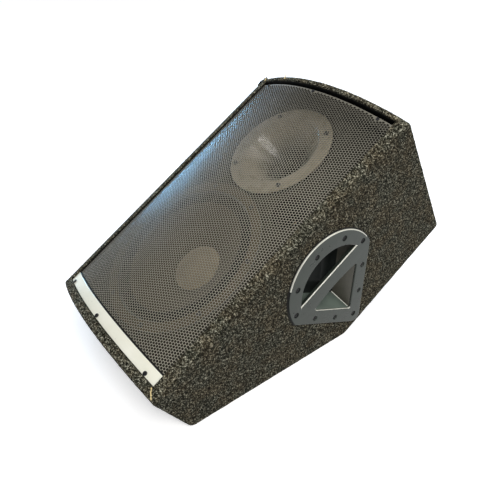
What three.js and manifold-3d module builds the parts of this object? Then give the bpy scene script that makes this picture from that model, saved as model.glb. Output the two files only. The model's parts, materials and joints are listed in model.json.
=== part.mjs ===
// Self-powered two-way stage monitor wedge, in millimetres, +Z up, standing on its floor panel.
//
// Everything is drawn in the cabinet's own frame and then tilted with the baffle:
//   x  across the cabinet, + to the right for someone who faces the grille from the low end
//   y  up the sloping baffle, 0 at the low end
//   z  out of the baffle, 0 at the long front corners of the cabinet

import * as THREE from 'three';
import { ConvexGeometry } from 'three/addons/geometries/ConvexGeometry.js';
import { mergeVertices } from 'three/addons/utils/BufferGeometryUtils.js';
import Module from 'manifold-3d';

const wasm = await Module();
wasm.setup();

// ---- driving dimensions ---------------------------------------------------------------------

const GAP = 0.3;                    // clearance left between pieces that touch

const TILT = Math.PI / 6;           // slope of the baffle above the floor
const WIDTH = 389;                  // outside, over the carpet
const LENGTH = 600;                 // along the baffle, over the carpet
const BACK_START = 300;             // where the floor panel meets the back panel, along the baffle
const LOW_DEPTH = 109;              // height of the low end, square to the baffle
const TOP_LEAN = 5;                 // how far the top end leans in over its depth
const BOW = 40;                     // how far the middle of the front stands ahead of its sides

const CARPET = 3;
const PANEL = 15;                   // end, back and floor panels
const SIDE_PANEL = 18;
const BAFFLE_Z = -5.7;              // face of the baffle board
const BAFFLE_THICK = 18;
const FRONT_LOW = 18.3;             // the grille opening, along the baffle
const FRONT_HIGH = 589;

const SHEET = 1.5;                  // grille steel
const STRIP_SHEET = 1.6;            // name strip
const STRIP_INSET = 3.4;            // name strip below the carpeted rails
const GRILLE_INSET = 5.3;           // grille, which runs on under the strip
const STRIP_TOP = 38.8;
const GRILLE_TOP = 581.4;
const BATTEN_LOW_END = 41;
const BATTEN_HIGH_START = 566;
const STRIP_SCREWS = { y: 22.6, xs: [-150, 0, 150], head: 3.6, drop: STRIP_INSET };
const GRILLE_SCREWS = { y: 578, xs: [-146, 0, 146], head: 3, drop: GRILLE_INSET };

const WOOFER_Y = 199;
const HORN_Y = 462.5;
const PORT = { x: 126.8, y: 363.6, bore: 27, wall: 2.5, end: -52 };

const HANDLE_Y = 337;               // middle of the side handle along the baffle
const HANDLE_PROUD = 3.8;           // face plate above the carpet
const CUP = { radius: 78, centre: 141, tip: 227, slope: 0.695, depth: 52, facet: 1.094, wall: 2.5 };

const AMP = { depth: 145, halfWidth: 150, halfHeight: 95, plate: 2.5, chassisDepth: 57 };

// ---- derived sizes --------------------------------------------------------------------------

const HALF = WIDTH / 2;
const BACK_DEPTH = LOW_DEPTH + BACK_START * Math.tan(TILT);
const SIDE_OUT = HALF - CARPET;                 // outer face of a side panel
const SIDE_IN = SIDE_OUT - SIDE_PANEL;          // inner face of a side panel
const INSIDE = SIDE_IN - GAP;                   // half the width between the side panels
const PANEL_OUT = CARPET + GAP;                 // inset of the panels' outer faces
const PANEL_IN = PANEL_OUT + PANEL;
const FRONT_Z = 80;                             // outlines run on to here, past the bow

// ---- materials ------------------------------------------------------------------------------

const finish = (color, roughness, metalness = 0) =>
  new THREE.MeshStandardMaterial({ color, roughness, metalness, flatShading: true });

const carpet = finish(0x3a3a36, 0.95);
const plywood = finish(0xb09468, 0.8);
const boardPaint = finish(0x2d2c27, 0.7);
const blackSteel = finish(0x1b1d20, 0.4, 0.6);
const satinAluminium = finish(0xc9c7b4, 0.35, 0.8);
const blackScrew = finish(0x0d0d0d, 0.4, 0.7);
const handlePlastic = finish(0x4a514d, 0.5);
const rubber = finish(0x161616, 0.7);
const pulp = finish(0x2a2622, 0.85);
const plainSteel = finish(0x9a9a98, 0.35, 0.9);
const ferrite = finish(0x2c2c2e, 0.7, 0.1);
const copper = finish(0xa8623a, 0.4, 0.8);
const spiderCloth = finish(0x9a7a3c, 0.9);
const hornPlastic = finish(0x35322b, 0.35);
const titanium = finish(0x8f9092, 0.3, 0.9);
const blackPlastic = finish(0x151515, 0.5);
const greenBoard = finish(0x1f4a2c, 0.5);
const redLens = finish(0xa01818, 0.2);

// ---- solids ---------------------------------------------------------------------------------

// A closed body for cutting and joining, from any closed three.js geometry.
function solid(geometry) {
  const bare = geometry.clone();
  for (const name of Object.keys(bare.attributes)) {
    if (name !== 'position') bare.deleteAttribute(name);
  }
  const merged = mergeVertices(bare, 1e-4);
  const at = merged.attributes.position;
  const corners = [0, 1, 2].map(() => new THREE.Vector3());
  const triangles = [];
  let volume = 0;
  for (let i = 0; i < merged.index.count; i += 3) {
    const abc = [0, 1, 2].map((k) => merged.index.getX(i + k));
    if (new Set(abc).size < 3) continue;
    abc.forEach((index, k) => corners[k].fromBufferAttribute(at, index));
    volume += corners[0].dot(corners[1].clone().cross(corners[2]));
    triangles.push(abc);
  }
  const wound = volume < 0 ? triangles.map(([a, b, c]) => [a, c, b]) : triangles;
  const mesh = new wasm.Mesh({
    numProp: 3,
    vertProperties: new Float32Array(at.array),
    triVerts: new Uint32Array(wound.flat()),
  });
  return new wasm.Manifold(mesh);
}

function geometryOf(body) {
  const { vertProperties, triVerts } = body.getMesh();
  const geometry = new THREE.BufferGeometry();
  geometry.setAttribute('position', new THREE.BufferAttribute(new Float32Array(vertProperties), 3));
  geometry.setIndex(new THREE.BufferAttribute(new Uint32Array(triVerts), 1));
  geometry.computeVertexNormals();
  return geometry;
}

const moved = (geometry, x, y, z) => geometry.translate(x, y, z);
const union = (bodies) => bodies.reduce((all, body) => all.add(body));
const without = (body, cutters) => cutters.reduce((left, cutter) => left.subtract(cutter), body);

// A box from its low and high corners.
function box([x0, y0, z0], [x1, y1, z1]) {
  const size = new THREE.BoxGeometry(x1 - x0, y1 - y0, z1 - z0);
  return solid(moved(size, (x0 + x1) / 2, (y0 + y1) / 2, (z0 + z1) / 2));
}

const shapeOf = (points) => new THREE.Shape(points.map(([a, b]) => new THREE.Vector2(a, b)));

const extruded = (points, depth) =>
  new THREE.ExtrudeGeometry(shapeOf(points), { depth, steps: 1, bevelEnabled: false });

// An outline drawn in y and z, run from x0 to x1.
function prismX(points, x0, x1) {
  const turn = new THREE.Matrix4().makeBasis(
    new THREE.Vector3(0, 1, 0), new THREE.Vector3(0, 0, 1), new THREE.Vector3(1, 0, 0));
  return solid(moved(extruded(points, x1 - x0).applyMatrix4(turn), x0, 0, 0));
}

// An outline drawn in x and z, run from y0 to y1.
const prismY = (points, y0, y1) =>
  solid(moved(extruded(points, y1 - y0).rotateX(Math.PI / 2), 0, y1, 0));

// An outline drawn in x and y, run from z0 to z1.
const prismZ = (points, z0, z1) => solid(moved(extruded(points, z1 - z0), 0, 0, z0));

// A closed profile of [radius, z] points turned about the z axis, moved to [x, y].
function turned(profile, [x, y] = [0, 0], segments = 30) {
  const closed = [...profile, profile[0]].map(([r, z]) => new THREE.Vector2(r, z));
  return solid(moved(new THREE.LatheGeometry(closed, segments).rotateX(Math.PI / 2), x, y, 0));
}

// The same profile turned about the y axis, for the controls of the amplifier panel.
function turnedY(profile, [x, z] = [0, 0], segments = 18) {
  const closed = [...profile, profile[0]].map(([r, y]) => new THREE.Vector2(r, y));
  return solid(moved(new THREE.LatheGeometry(closed, segments), x, 0, z));
}

const rod = (radius, low, high) => [[0, low], [radius, low], [radius, high], [0, high]];
const ring = (inner, outer, low, high) => [[inner, low], [outer, low], [outer, high], [inner, high]];

// Points of an arc from angle a0 to a1, in degrees.
function arc(cx, cy, radius, a0, a1, steps) {
  return Array.from({ length: steps + 1 }, (_, i) => {
    const angle = THREE.MathUtils.degToRad(a0 + ((a1 - a0) * i) / steps);
    return [cx + radius * Math.cos(angle), cy + radius * Math.sin(angle)];
  });
}

// The outline moved inwards by a distance. Its points run clockwise.
function inset(points, distance) {
  const count = points.length;
  const edges = points.map(([x0, y0], i) => {
    const [x1, y1] = points[(i + 1) % count];
    const length = Math.hypot(x1 - x0, y1 - y0);
    const along = [(x1 - x0) / length, (y1 - y0) / length];
    const inward = [along[1] * distance, -along[0] * distance];
    return { at: [x0 + inward[0], y0 + inward[1]], along };
  });
  return points.map((_, i) => {
    const p = edges[(i + count - 1) % count];
    const q = edges[i];
    const cross = p.along[0] * q.along[1] - p.along[1] * q.along[0];
    const gap = [q.at[0] - p.at[0], q.at[1] - p.at[1]];
    const t = (gap[0] * q.along[1] - gap[1] * q.along[0]) / cross;
    return [p.at[0] + p.along[0] * t, p.at[1] + p.along[1] * t];
  });
}

// The same outline with a fillet at each corner that has a radius.
function filleted(points, radii, steps = 3) {
  return points.flatMap((corner, i) => {
    if (!radii[i]) return [corner];
    const here = new THREE.Vector2(...corner);
    const before = new THREE.Vector2(...points[(i + points.length - 1) % points.length]);
    const after = new THREE.Vector2(...points[(i + 1) % points.length]);
    const back = before.sub(here).normalize();
    const on = after.sub(here).normalize();
    const run = radii[i] / Math.tan(Math.acos(back.dot(on)) / 2);
    const curve = new THREE.QuadraticBezierCurve(
      here.clone().addScaledVector(back, run), here, here.clone().addScaledVector(on, run));
    return curve.getPoints(steps).map((p) => [p.x, p.y]);
  });
}

function mirrorX(geometry) {
  const twin = geometry.clone().scale(-1, 1, 1);
  const index = twin.index.array;
  for (let i = 0; i < index.length; i += 3) [index[i], index[i + 1]] = [index[i + 1], index[i]];
  twin.computeVertexNormals();
  return twin;
}

// ---- scene graph ----------------------------------------------------------------------------

const wedge = new THREE.Group();
wedge.name = 'stage_monitor_wedge';

const cabinet = new THREE.Group();
cabinet.rotation.x = TILT;
cabinet.position.z = LOW_DEPTH * Math.cos(TILT);
wedge.add(cabinet);

function put(name, body, material, group = cabinet) {
  const mesh = new THREE.Mesh(body.isBufferGeometry ? body : geometryOf(body), material);
  mesh.name = name;
  group.add(mesh);
}

function putPair(name, body, material) {
  const right = geometryOf(body);
  put(`${name}_right`, right, material);
  put(`${name}_left`, mirrorX(right), material);
}

// ---- cabinet --------------------------------------------------------------------------------

// The side outline, clockwise in y and z: front at the low end, front at the top end, back corner,
// back at the start of the floor panel, and the low end's floor corner.
const lean = TOP_LEAN / BACK_DEPTH;
const OUTLINE = [
  [0, FRONT_Z],
  [LENGTH + FRONT_Z * lean, FRONT_Z],
  [LENGTH - TOP_LEAN, -BACK_DEPTH],
  [BACK_START, -BACK_DEPTH],
  [0, -LOW_DEPTH],
];
const CORNER_RADII = [0, 0, 9, 0, 16];

const profile = (distance) => inset(OUTLINE, distance);
const carpetProfile = filleted(OUTLINE, CORNER_RADII);
const woodProfile = filleted(profile(PANEL_OUT), CORNER_RADII.map((r) => Math.max(r - CARPET, 0)));

const bow = (x) => BOW * (1 - (x / HALF) ** 2);

const bowLine = (halfWidth, drop, steps = 20) =>
  Array.from({ length: steps + 1 }, (_, i) => {
    const x = -halfWidth + (2 * halfWidth * i) / steps;
    return [x, bow(x) - drop];
  });

// Everything behind the bowed front surface, or behind that surface moved in by a drop.
function behindBow(drop) {
  const wide = HALF + 4;
  const deep = -BACK_DEPTH - 40;
  return prismY([...bowLine(wide, drop), [wide, deep], [-wide, deep]], -20, LENGTH + 20);
}

const cupCutHalf = handleOutline(CUP.radius + 4, CUP.tip + 8);
const handleCut = union([-1, 1].map((side) =>
  prismX(cupCutHalf, side > 0 ? SIDE_IN - 5 : -HALF - 5, side > 0 ? HALF + 5 : -SIDE_IN + 5)));

// The outline of the handle's recess: round above, running down to a point.
function handleOutline(radius, tip) {
  const centre = -CUP.centre;
  const start = meet(radius, tip);
  const from = THREE.MathUtils.radToDeg(Math.atan2(start[1] - centre, start[0]));
  const round = arc(0, centre, radius, from, 180 - from, 18);
  return [...round, [0, -tip]].map(([y, z]) => [HANDLE_Y + y, z]);
}

// Where the slanting side of the recess, which ends at the tip, leaves its round part.
function meet(radius, tip) {
  const k = CUP.slope;
  const span = tip - CUP.centre;
  const a = 1 + k * k;
  const b = -2 * k * k * span;
  const c = k * k * span * span - radius * radius;
  const down = (-b - Math.sqrt(b * b - 4 * a * c)) / (2 * a);
  return [k * (span - down), -CUP.centre - down];
}

function sidePanels() {
  const board = prismX(woodProfile, SIDE_IN, SIDE_OUT).intersect(behindBow(PANEL_OUT));
  putPair('side_panel', board.subtract(handleCut), plywood);
}

// A panel between the outer and inner outlines, along one edge of the side outline.
function edgePanel(edge) {
  const outer = profile(PANEL_OUT);
  const inner = profile(PANEL_IN);
  const next = (edge + 1) % outer.length;
  const section = inset([outer[edge], outer[next], inner[next], inner[edge]], GAP / 2);
  return prismX(section, -INSIDE, INSIDE).intersect(behindBow(PANEL_OUT));
}

function shellPanels() {
  const lip = box([-HALF, LENGTH - 40, BAFFLE_Z - 3], [HALF, FRONT_HIGH + 0.6, FRONT_Z]);
  const ampHole = ampCutter(9);
  put('top_end_panel', without(edgePanel(1), [lip, ampHole]), plywood);
  put('back_panel', edgePanel(2), plywood);
  put('floor_panel', edgePanel(3), plywood);
  put('bottom_end_panel', edgePanel(4), plywood);
}

// The cut-out for the amplifier in the top end, smaller than its panel plate by a border.
function ampCutter(border) {
  const [w, h] = [AMP.halfWidth - border, AMP.halfHeight - border];
  return box([-w, LENGTH - 50, -AMP.depth - h], [w, LENGTH + 50, -AMP.depth + h]);
}

function carpets() {
  const outer = (x0, x1) => prismX(carpetProfile, x0, x1).intersect(behindBow(0));
  const backing = prismX(profile(-4), SIDE_IN - 10, SIDE_OUT + GAP).intersect(behindBow(CARPET));
  const side = without(outer(SIDE_IN, HALF), [backing, handleCut]);
  putPair('carpet_side', side, carpet);

  const core = prismX(profile(CARPET), -HALF, HALF).intersect(behindBow(CARPET));
  const opening = box([-HALF, FRONT_LOW, -60], [HALF, FRONT_HIGH, FRONT_Z]);
  const sleeve = box([-INSIDE, -10, -BACK_DEPTH - 10], [INSIDE, LENGTH + 10, FRONT_Z]);
  const underSide = sleeve.add(behindBow(PANEL_OUT));
  const wrap = without(outer(-SIDE_OUT, SIDE_OUT), [core, opening, ampCutter(8)]);
  put('carpet_wrap', wrap.intersect(underSide), carpet);
}

function baffle() {
  const high = profile(PANEL_IN)[1][0] - 2;
  const [width, back] = [INSIDE - GAP, BAFFLE_Z - BAFFLE_THICK];
  const board = box([-width, FRONT_LOW + 0.6, back], [width, high, BAFFLE_Z]);
  const drill = (radius, x, y) => turned(rod(radius, -60, 10), [x, y], 32);
  put('baffle_board', without(board, [
    drill(144, 0, WOOFER_Y),
    drill(86, 0, HORN_Y),
    drill(PORT.bore + PORT.wall + 0.5, PORT.x, PORT.y),
    drill(PORT.bore + PORT.wall + 0.5, -PORT.x, PORT.y),
  ]), boardPaint);
}

function brace() {
  const front = BAFFLE_Z - BAFFLE_THICK - GAP;
  const back = -BACK_DEPTH + PANEL_IN + GAP;
  const board = box([-90, 362, back], [90, 374, front]);
  const window = box([-55, 350, back + 42], [55, 390, front - 36]);
  put('brace', board.subtract(window), plywood);
}

// ---- front: grille, name strip, battens, screws ---------------------------------------------

// A bowed sheet between y0 and y1, with its sides folded back to the baffle where asked.
function bowedSheet(y0, y1, drop, sheet, folded) {
  const half = SIDE_IN - 0.8;
  const outer = bowLine(half, drop);
  const inner = bowLine(half - (folded ? sheet : 0), drop + sheet).reverse();
  const foot = BAFFLE_Z + GAP;
  const right = folded ? [[half, foot], [half - sheet, foot]] : [];
  const left = folded ? [[sheet - half, foot], [-half, foot]] : [];
  return prismY([...outer, ...right, ...inner, ...left], y0, y1);
}

// A wooden batten with a bowed face, between the baffle and the grille that it carries.
function batten(y0, y1) {
  const half = SIDE_IN - 3;
  const foot = BAFFLE_Z + GAP;
  const face = bowLine(half, GRILLE_INSET + SHEET + GAP);
  return prismY([...face, [half, foot], [-half, foot]], y0, y1);
}

// A pan-head screw, square to the bowed sheet it holds down. Clearance widens it into a hole cutter.
function frontScrew(x, y, drop, head, clearance = 0) {
  const profilePoints = [
    [0, -13], [2 + clearance, -13], [2 + clearance, GAP],
    ...(clearance ? [[2 + clearance, 12], [0, 12]]
      : [[head, GAP], [head, 1.2], [head * 0.7, 2.2], [0, 2.4]]),
  ];
  const points = [...profilePoints, profilePoints[0]].map(([r, z]) => new THREE.Vector2(r, z));
  const geometry = new THREE.LatheGeometry(points, 12).rotateX(Math.PI / 2);
  const slope = (-2 * BOW * x) / HALF ** 2;
  geometry.rotateY(-Math.atan(slope)).translate(x, y, bow(x) - drop);
  return solid(geometry);
}

function front() {
  const drill = ({ xs, y, drop }) => xs.map((x) => frontScrew(x, y, drop, 0, 0.6));
  const lowHoles = drill(STRIP_SCREWS);
  const highHoles = drill(GRILLE_SCREWS);
  const strip = bowedSheet(FRONT_LOW + GAP, STRIP_TOP, STRIP_INSET, STRIP_SHEET, false);
  const grille = bowedSheet(FRONT_LOW + 0.6, GRILLE_TOP, GRILLE_INSET, SHEET, true);
  put('name_strip', without(strip, lowHoles), satinAluminium);
  put('grille', without(grille, [...lowHoles, ...highHoles]), blackSteel);
  put('grille_batten_low', without(batten(FRONT_LOW + 0.6, BATTEN_LOW_END), lowHoles), plywood);
  put('grille_batten_high', without(batten(BATTEN_HIGH_START, GRILLE_TOP - 1), highHoles), plywood);

  const screws = (row, { xs, y, drop, head }) => xs.forEach((x, i) =>
    put(`${row}_${i + 1}`, frontScrew(x, y, drop, head), blackScrew));
  screws('strip_screw', STRIP_SCREWS);
  screws('grille_screw', GRILLE_SCREWS);
}

// ---- side handles ---------------------------------------------------------------------------

const FACE = { radius: 99, centre: 130, tip: 281, tipRadius: 14, shoulderRadius: 12 };
const GRIP = { top: 107, bottom: 145, halfTriangle: 57 };

function handleFace() {
  const at = ([y, z]) => [HANDLE_Y + y, z];
  const round = arc(0, -FACE.centre, FACE.radius, 0, 180, 24);
  const corners = [...round, [0, -FACE.tip]];
  const shoulders = [0, round.length - 1];
  const radii = corners.map((_, i) => (shoulders.includes(i) ? FACE.shoulderRadius : 0));
  radii[radii.length - 1] = FACE.tipRadius;
  const outline = filleted(corners, radii, 4).map(at);
  const [low, high] = [HALF + GAP, HALF + HANDLE_PROUD];
  const plate = prismX(outline, low, high);

  const chord = CUP.centre - GRIP.top;
  const start = THREE.MathUtils.radToDeg(Math.asin(chord / CUP.radius));
  const bowl = arc(0, -CUP.centre, CUP.radius, start, 180 - start, 14);
  const opening = prismX(bowl.map(at), low - 5, high + 5);
  const triangle = [[-GRIP.halfTriangle, -GRIP.bottom], [GRIP.halfTriangle, -GRIP.bottom], [0, -CUP.tip]];
  const dish = prismX(triangle.map(at), low - 5, high + 5);
  const rib = box([low - 11, HANDLE_Y - 50, -GRIP.bottom + 7], [low + 1, HANDLE_Y + 50, -GRIP.top - 3]);
  return without(plate, [opening, dish]).add(rib);
}

// The recess as a convex body: round walls, and two facets that slope in from the pointed end.
function recess(grow, open) {
  const radius = CUP.radius + grow;
  const tip = CUP.tip + grow / Math.sin(Math.atan(CUP.slope));
  const depth = CUP.depth + grow;
  const top = handleOutline(radius, tip + open / CUP.facet);
  const bottom = handleOutline(radius, tip - depth / CUP.facet);
  const level = (points, x) => points.map(([y, z]) => new THREE.Vector3(x, y, z));
  return solid(new ConvexGeometry([...level(top, HALF + open), ...level(bottom, HALF - depth)]));
}

function handles() {
  putPair('handle', handleFace(), handlePlastic);
  putPair('handle_cup', recess(CUP.wall, 0).subtract(recess(0, 1)), handlePlastic);
}

// ---- woofer ---------------------------------------------------------------------------------

const W = [0, WOOFER_Y];
const FLANGE_Z = BAFFLE_Z + GAP;                // back of the woofer's and the horn's flanges
const CONE = { outer: 116.5, neck: 26.2, front: -9, drop: 0.707, thick: 1 };
const coneZ = (r) => CONE.front - CONE.drop * (CONE.outer - r);

function basket() {
  const shell = turned([
    [157, FLANGE_Z], [157, FLANGE_Z + 2.8], [138, FLANGE_Z + 2.8], [138, -8], [121, -40], [83, -88],
    [36, -88], [36, -91], [85, -91], [124, -41], [142.5, -8.5], [142.5, FLANGE_Z],
  ], W);
  const windows = [0, 1, 2, 3, 4, 5].map((i) => {
    const window = new THREE.BoxGeometry(70, 62, 54).translate(120, 0, -48);
    return solid(moved(window.rotateZ((i * Math.PI) / 3), ...W, 0));
  });
  return without(shell, windows);
}

// A half roll between two radii, with a flat land on its outer side.
function surround() {
  const [inner, outer, foot, skin] = [117.2, 137.4, -7.5, 1.2];
  const middle = (inner + outer) / 2;
  const half = (outer - inner) / 2;
  const over = arc(middle, foot, half, 180, 0, 6);
  const under = arc(middle, foot - 0.2, half - skin, 0, 180, 6);
  return turned([...over, ...under], W);
}

function spider() {
  const waves = 5;
  const line = (lift) => Array.from({ length: waves + 1 }, (_, i) =>
    [27.2 + (i * 40) / waves, -85.8 + (i % 2 ? 2 : 0) + lift]);
  return turned([...line(0), ...line(0.9).reverse()], W);
}

function woofer() {
  put('woofer_basket', basket(), blackSteel);
  put('woofer_gasket', turned(ring(139.5, 157, FLANGE_Z + 3.1, FLANGE_Z + 6.1), W), rubber);
  put('woofer_surround', surround(), rubber);
  put('woofer_cone', turned([
    [CONE.outer, coneZ(CONE.outer)], [CONE.outer, coneZ(CONE.outer) + CONE.thick],
    [CONE.neck, coneZ(CONE.neck) + CONE.thick], [CONE.neck, coneZ(CONE.neck)],
  ], W), pulp);

  const rim = 46;
  const capFoot = coneZ(rim) + CONE.thick + 0.5;
  const dome = (radius, lift) => [1, 0.75, 0.5, 0.25, 0].map((t) =>
    [rim * t, capFoot + lift + radius * (1 - t * t)]);
  put('dust_cap', turned([...dome(12, 1), ...dome(12, 0).reverse()], W), pulp);

  put('voice_coil', turned(ring(24.4, 25.7, -106, coneZ(CONE.neck) + 3), W), copper);
  put('spider', spider(), spiderCloth);
  put('motor_top_plate', turned(ring(26.8, 62, -99.3, -91.3), W), plainSteel);
  put('motor_magnet', turned(ring(31, 74, -119.6, -99.6), W), ferrite);
  put('motor_back_plate', turned([
    [8, -128], [70, -128], [70, -119.9], [23.4, -119.9], [23.4, -92.5], [8, -92.5],
  ], W), plainSteel);
}

// ---- horn and compression driver ------------------------------------------------------------

const H = [0, HORN_Y];
const HORN = { flange: 103, mouth: 78, throat: 12.7, end: -95, wall: 3, steps: 4 };

function horn() {
  const face = FLANGE_Z + 4;
  const flare = (out) => Array.from({ length: HORN.steps + 1 }, (_, i) => {
    const t = i / HORN.steps;
    const z = HORN.end + (face - HORN.end) * t;
    return [HORN.throat + out + (HORN.mouth - HORN.throat) * t ** 1.5, z];
  });
  const outside = flare(HORN.wall).slice(1, -1).reverse().filter(([r, z]) => z < FLANGE_Z - 4);
  put('horn_flare', turned([
    ...flare(0), [HORN.flange, face], [HORN.flange, FLANGE_Z], [82, FLANGE_Z], ...outside, [22, HORN.end],
  ], H), hornPlastic);

  const seat = HORN.end - GAP;
  put('driver_body', turned([
    [HORN.throat, seat], [52, seat], [52, seat - 36], [38, seat - 36], [38, seat - 12],
    [HORN.throat, seat - 12],
  ], H), blackSteel);
  const crown = (lift) => [1, 0.66, 0.33, 0].map((t) => [26 * t, seat - 20 + lift + 6 * (1 - t * t)]);
  put('driver_diaphragm', turned([...crown(0.5), ...crown(0).reverse()], H, 24), titanium);
  const cap = seat - 36 - GAP;
  put('driver_rear_cap', turned([[0, cap], [50, cap], [50, cap - 6], [36, cap - 14], [0, cap - 14]], H),
    blackPlastic);
}

function ports() {
  const lipTop = FLANGE_Z + 1.6;
  const outer = PORT.bore + PORT.wall;
  putPair('port_tube', turned([
    [PORT.bore, PORT.end], [outer, PORT.end], [outer, FLANGE_Z], [outer + 3, FLANGE_Z], [outer + 3, lipTop],
    [PORT.bore, lipTop],
  ], [PORT.x, PORT.y], 24), blackPlastic);
}

// ---- amplifier in the top end ---------------------------------------------------------------
// Its own group: x across, y out of the panel, z up towards the grille.

const amp = new THREE.Group();
amp.position.set(0, LENGTH - AMP.depth * lean + GAP, -AMP.depth);
amp.rotation.x = -Math.atan(lean);
cabinet.add(amp);

const KNOBS = [['level_knob', 62], ['bass_knob', 20], ['treble_knob', -22]];
const KNOB_Z = 48;
const XLR_IN = [115, 48];
const XLR_OUT = [115, -2];
const BUTTON = [62, -2];
const LAMP = [20, -2];
const INLET = [98, -58];
const SWITCH = [32, -58];
const FACE_Y = AMP.plate + GAP;                 // back of whatever sits on the panel plate

const slab = ([x, z], halfX, halfZ, y0, y1) => box([x - halfX, y0, z - halfZ], [x + halfX, y1, z + halfZ]);

const DRAWER = { dx: 19.5, halfX: 3.6, halfZ: 7.5 };
const LATCH = { dz: 14.6, halfX: 4.2, halfZ: 1.7 };
const besideInlet = [INLET[0] + DRAWER.dx, INLET[1]];
const aboveInput = [XLR_IN[0], XLR_IN[1] + LATCH.dz];

function ampPlate() {
  const plate = box([-AMP.halfWidth, 0, -AMP.halfHeight], [AMP.halfWidth, AMP.plate, AMP.halfHeight]);
  const drill = (at, radius) => turnedY(rod(radius, -5, 9), at, 20);
  return without(plate, [
    ...KNOBS.map(([, x]) => drill([x, KNOB_Z], 3.8)),
    drill(XLR_IN, 12.4),
    drill(XLR_OUT, 12.4),
    drill(BUTTON, 4.6),
    drill(LAMP, 3.3),
    slab(INLET, 24.4, 10.4, -5, 9),
    slab(SWITCH, 7.4, 12.4, -5, 9),
    slab(aboveInput, LATCH.halfX + 0.6, LATCH.halfZ + 0.6, -5, 9),
  ]);
}

function chassis() {
  const [w, h, d] = [AMP.halfWidth - 12, AMP.halfHeight - 12, AMP.chassisDepth];
  const skin = 2;
  const outer = box([-w, -d, -h], [w, -GAP, h]);
  return outer.subtract(box([skin - w, skin - d, skin - h], [w - skin, 5, h - skin]));
}

// A finned extrusion along z: one comb outline.
function heatSink() {
  const [start, pitch, fin, fins, base, tip] = [-140, 8.4, 2.6, 9, 3, 14];
  const teeth = Array.from({ length: fins }, (_, i) => start + i * pitch).flatMap((x) =>
    [[x, FACE_Y + base], [x, FACE_Y + tip], [x + fin, FACE_Y + tip], [x + fin, FACE_Y + base]]);
  const last = start + (fins - 1) * pitch + fin;
  const outline = [[start, FACE_Y], ...teeth.slice(1, -1), [last, FACE_Y]];
  return prismZ(outline, -78, 78);
}

function knob(x) {
  const body = turnedY([
    [0, -14], [3, -14], [3, FACE_Y + 0.4], [9, FACE_Y + 0.4], [8.6, FACE_Y + 3], [6.8, FACE_Y + 4],
    [6.4, FACE_Y + 13], [5.6, FACE_Y + 14], [0, FACE_Y + 14],
  ], [x, KNOB_Z]);
  const pointer = slab([x, KNOB_Z + 6.4], 0.7, 1.2, FACE_Y + 3.5, FACE_Y + 13);
  return body.add(pointer);
}

const PIN_RING = 4.6;
const PIN_ANGLES = [90, 210, 330];

// Panel socket for a three-pole round connector: square flange, barrel, and a female insert or pins.
function roundSocket(at, female) {
  const flange = slab([at[0], at[1] + 1.5], 13, 17, FACE_Y, FACE_Y + 2.2);
  const barrel = turnedY(rod(11.8, -19, FACE_Y + 1), at);
  const shell = flange.add(barrel).subtract(turnedY(rod(9.4, -15, 20), at));
  const pinPlaces = PIN_ANGLES.map((angle) => arc(at[0], at[1], PIN_RING, angle, angle, 1)[0]);
  if (!female) return union([shell, ...pinPlaces.map((pin) => turnedY(rod(1.2, -17, FACE_Y), pin, 8))]);
  const insert = turnedY(rod(7.6, -17, FACE_Y + 0.4), at);
  const holes = pinPlaces.map((pin) => turnedY(rod(1.5, -10, 20), pin, 8));
  const latchSlot = slab(aboveInput, LATCH.halfX + 0.5, LATCH.halfZ + 0.5, -5, 20);
  return without(shell.add(insert), [...holes, latchSlot]);
}

function mainsInlet() {
  const flange = slab(INLET, 27, 13, FACE_Y, FACE_Y + 2);
  const body = slab(INLET, 24, 10, -24, FACE_Y + 1);
  const socket = slab([INLET[0] - 4, INLET[1]], 12.5, 8, -16, 20);
  const drawerBay = slab(besideInlet, DRAWER.halfX + 0.5, DRAWER.halfZ + 0.5, -14.5, 20);
  const blades = [-7, 0, 7].map((dx) =>
    slab([INLET[0] - 4 + dx, INLET[1] + (dx ? -1.5 : 2.5)], 1, 2.2, -17, -2));
  return union([without(flange.add(body), [socket, drawerBay]), ...blades]);
}

// The rocker, resting on its off side. It turns about an axis along x at the switch's middle.
const ROCKER_TILT = THREE.MathUtils.degToRad(10);
const ROCKER_AXIS_Y = 2;

function rocker() {
  const side = [[-9.4, 3.4], [0, 1.6], [9.4, 3.4], [8.6, -4.6], [-8.6, -4.6]];
  const points = side.map(([z, y]) => [
    ROCKER_AXIS_Y + y * Math.cos(ROCKER_TILT) - z * Math.sin(ROCKER_TILT),
    SWITCH[1] + z * Math.cos(ROCKER_TILT) + y * Math.sin(ROCKER_TILT),
  ]);
  return prismX(points, SWITCH[0] - 4.8, SWITCH[0] + 4.8);
}

function switchBezel() {
  const frame = slab(SWITCH, 9.5, 14.5, FACE_Y, FACE_Y + 1.8);
  const sleeve = slab(SWITCH, 7, 12, -14, FACE_Y + 1);
  return frame.add(sleeve).subtract(slab(SWITCH, 5.4, 10.6, -12, 20));
}

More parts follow.
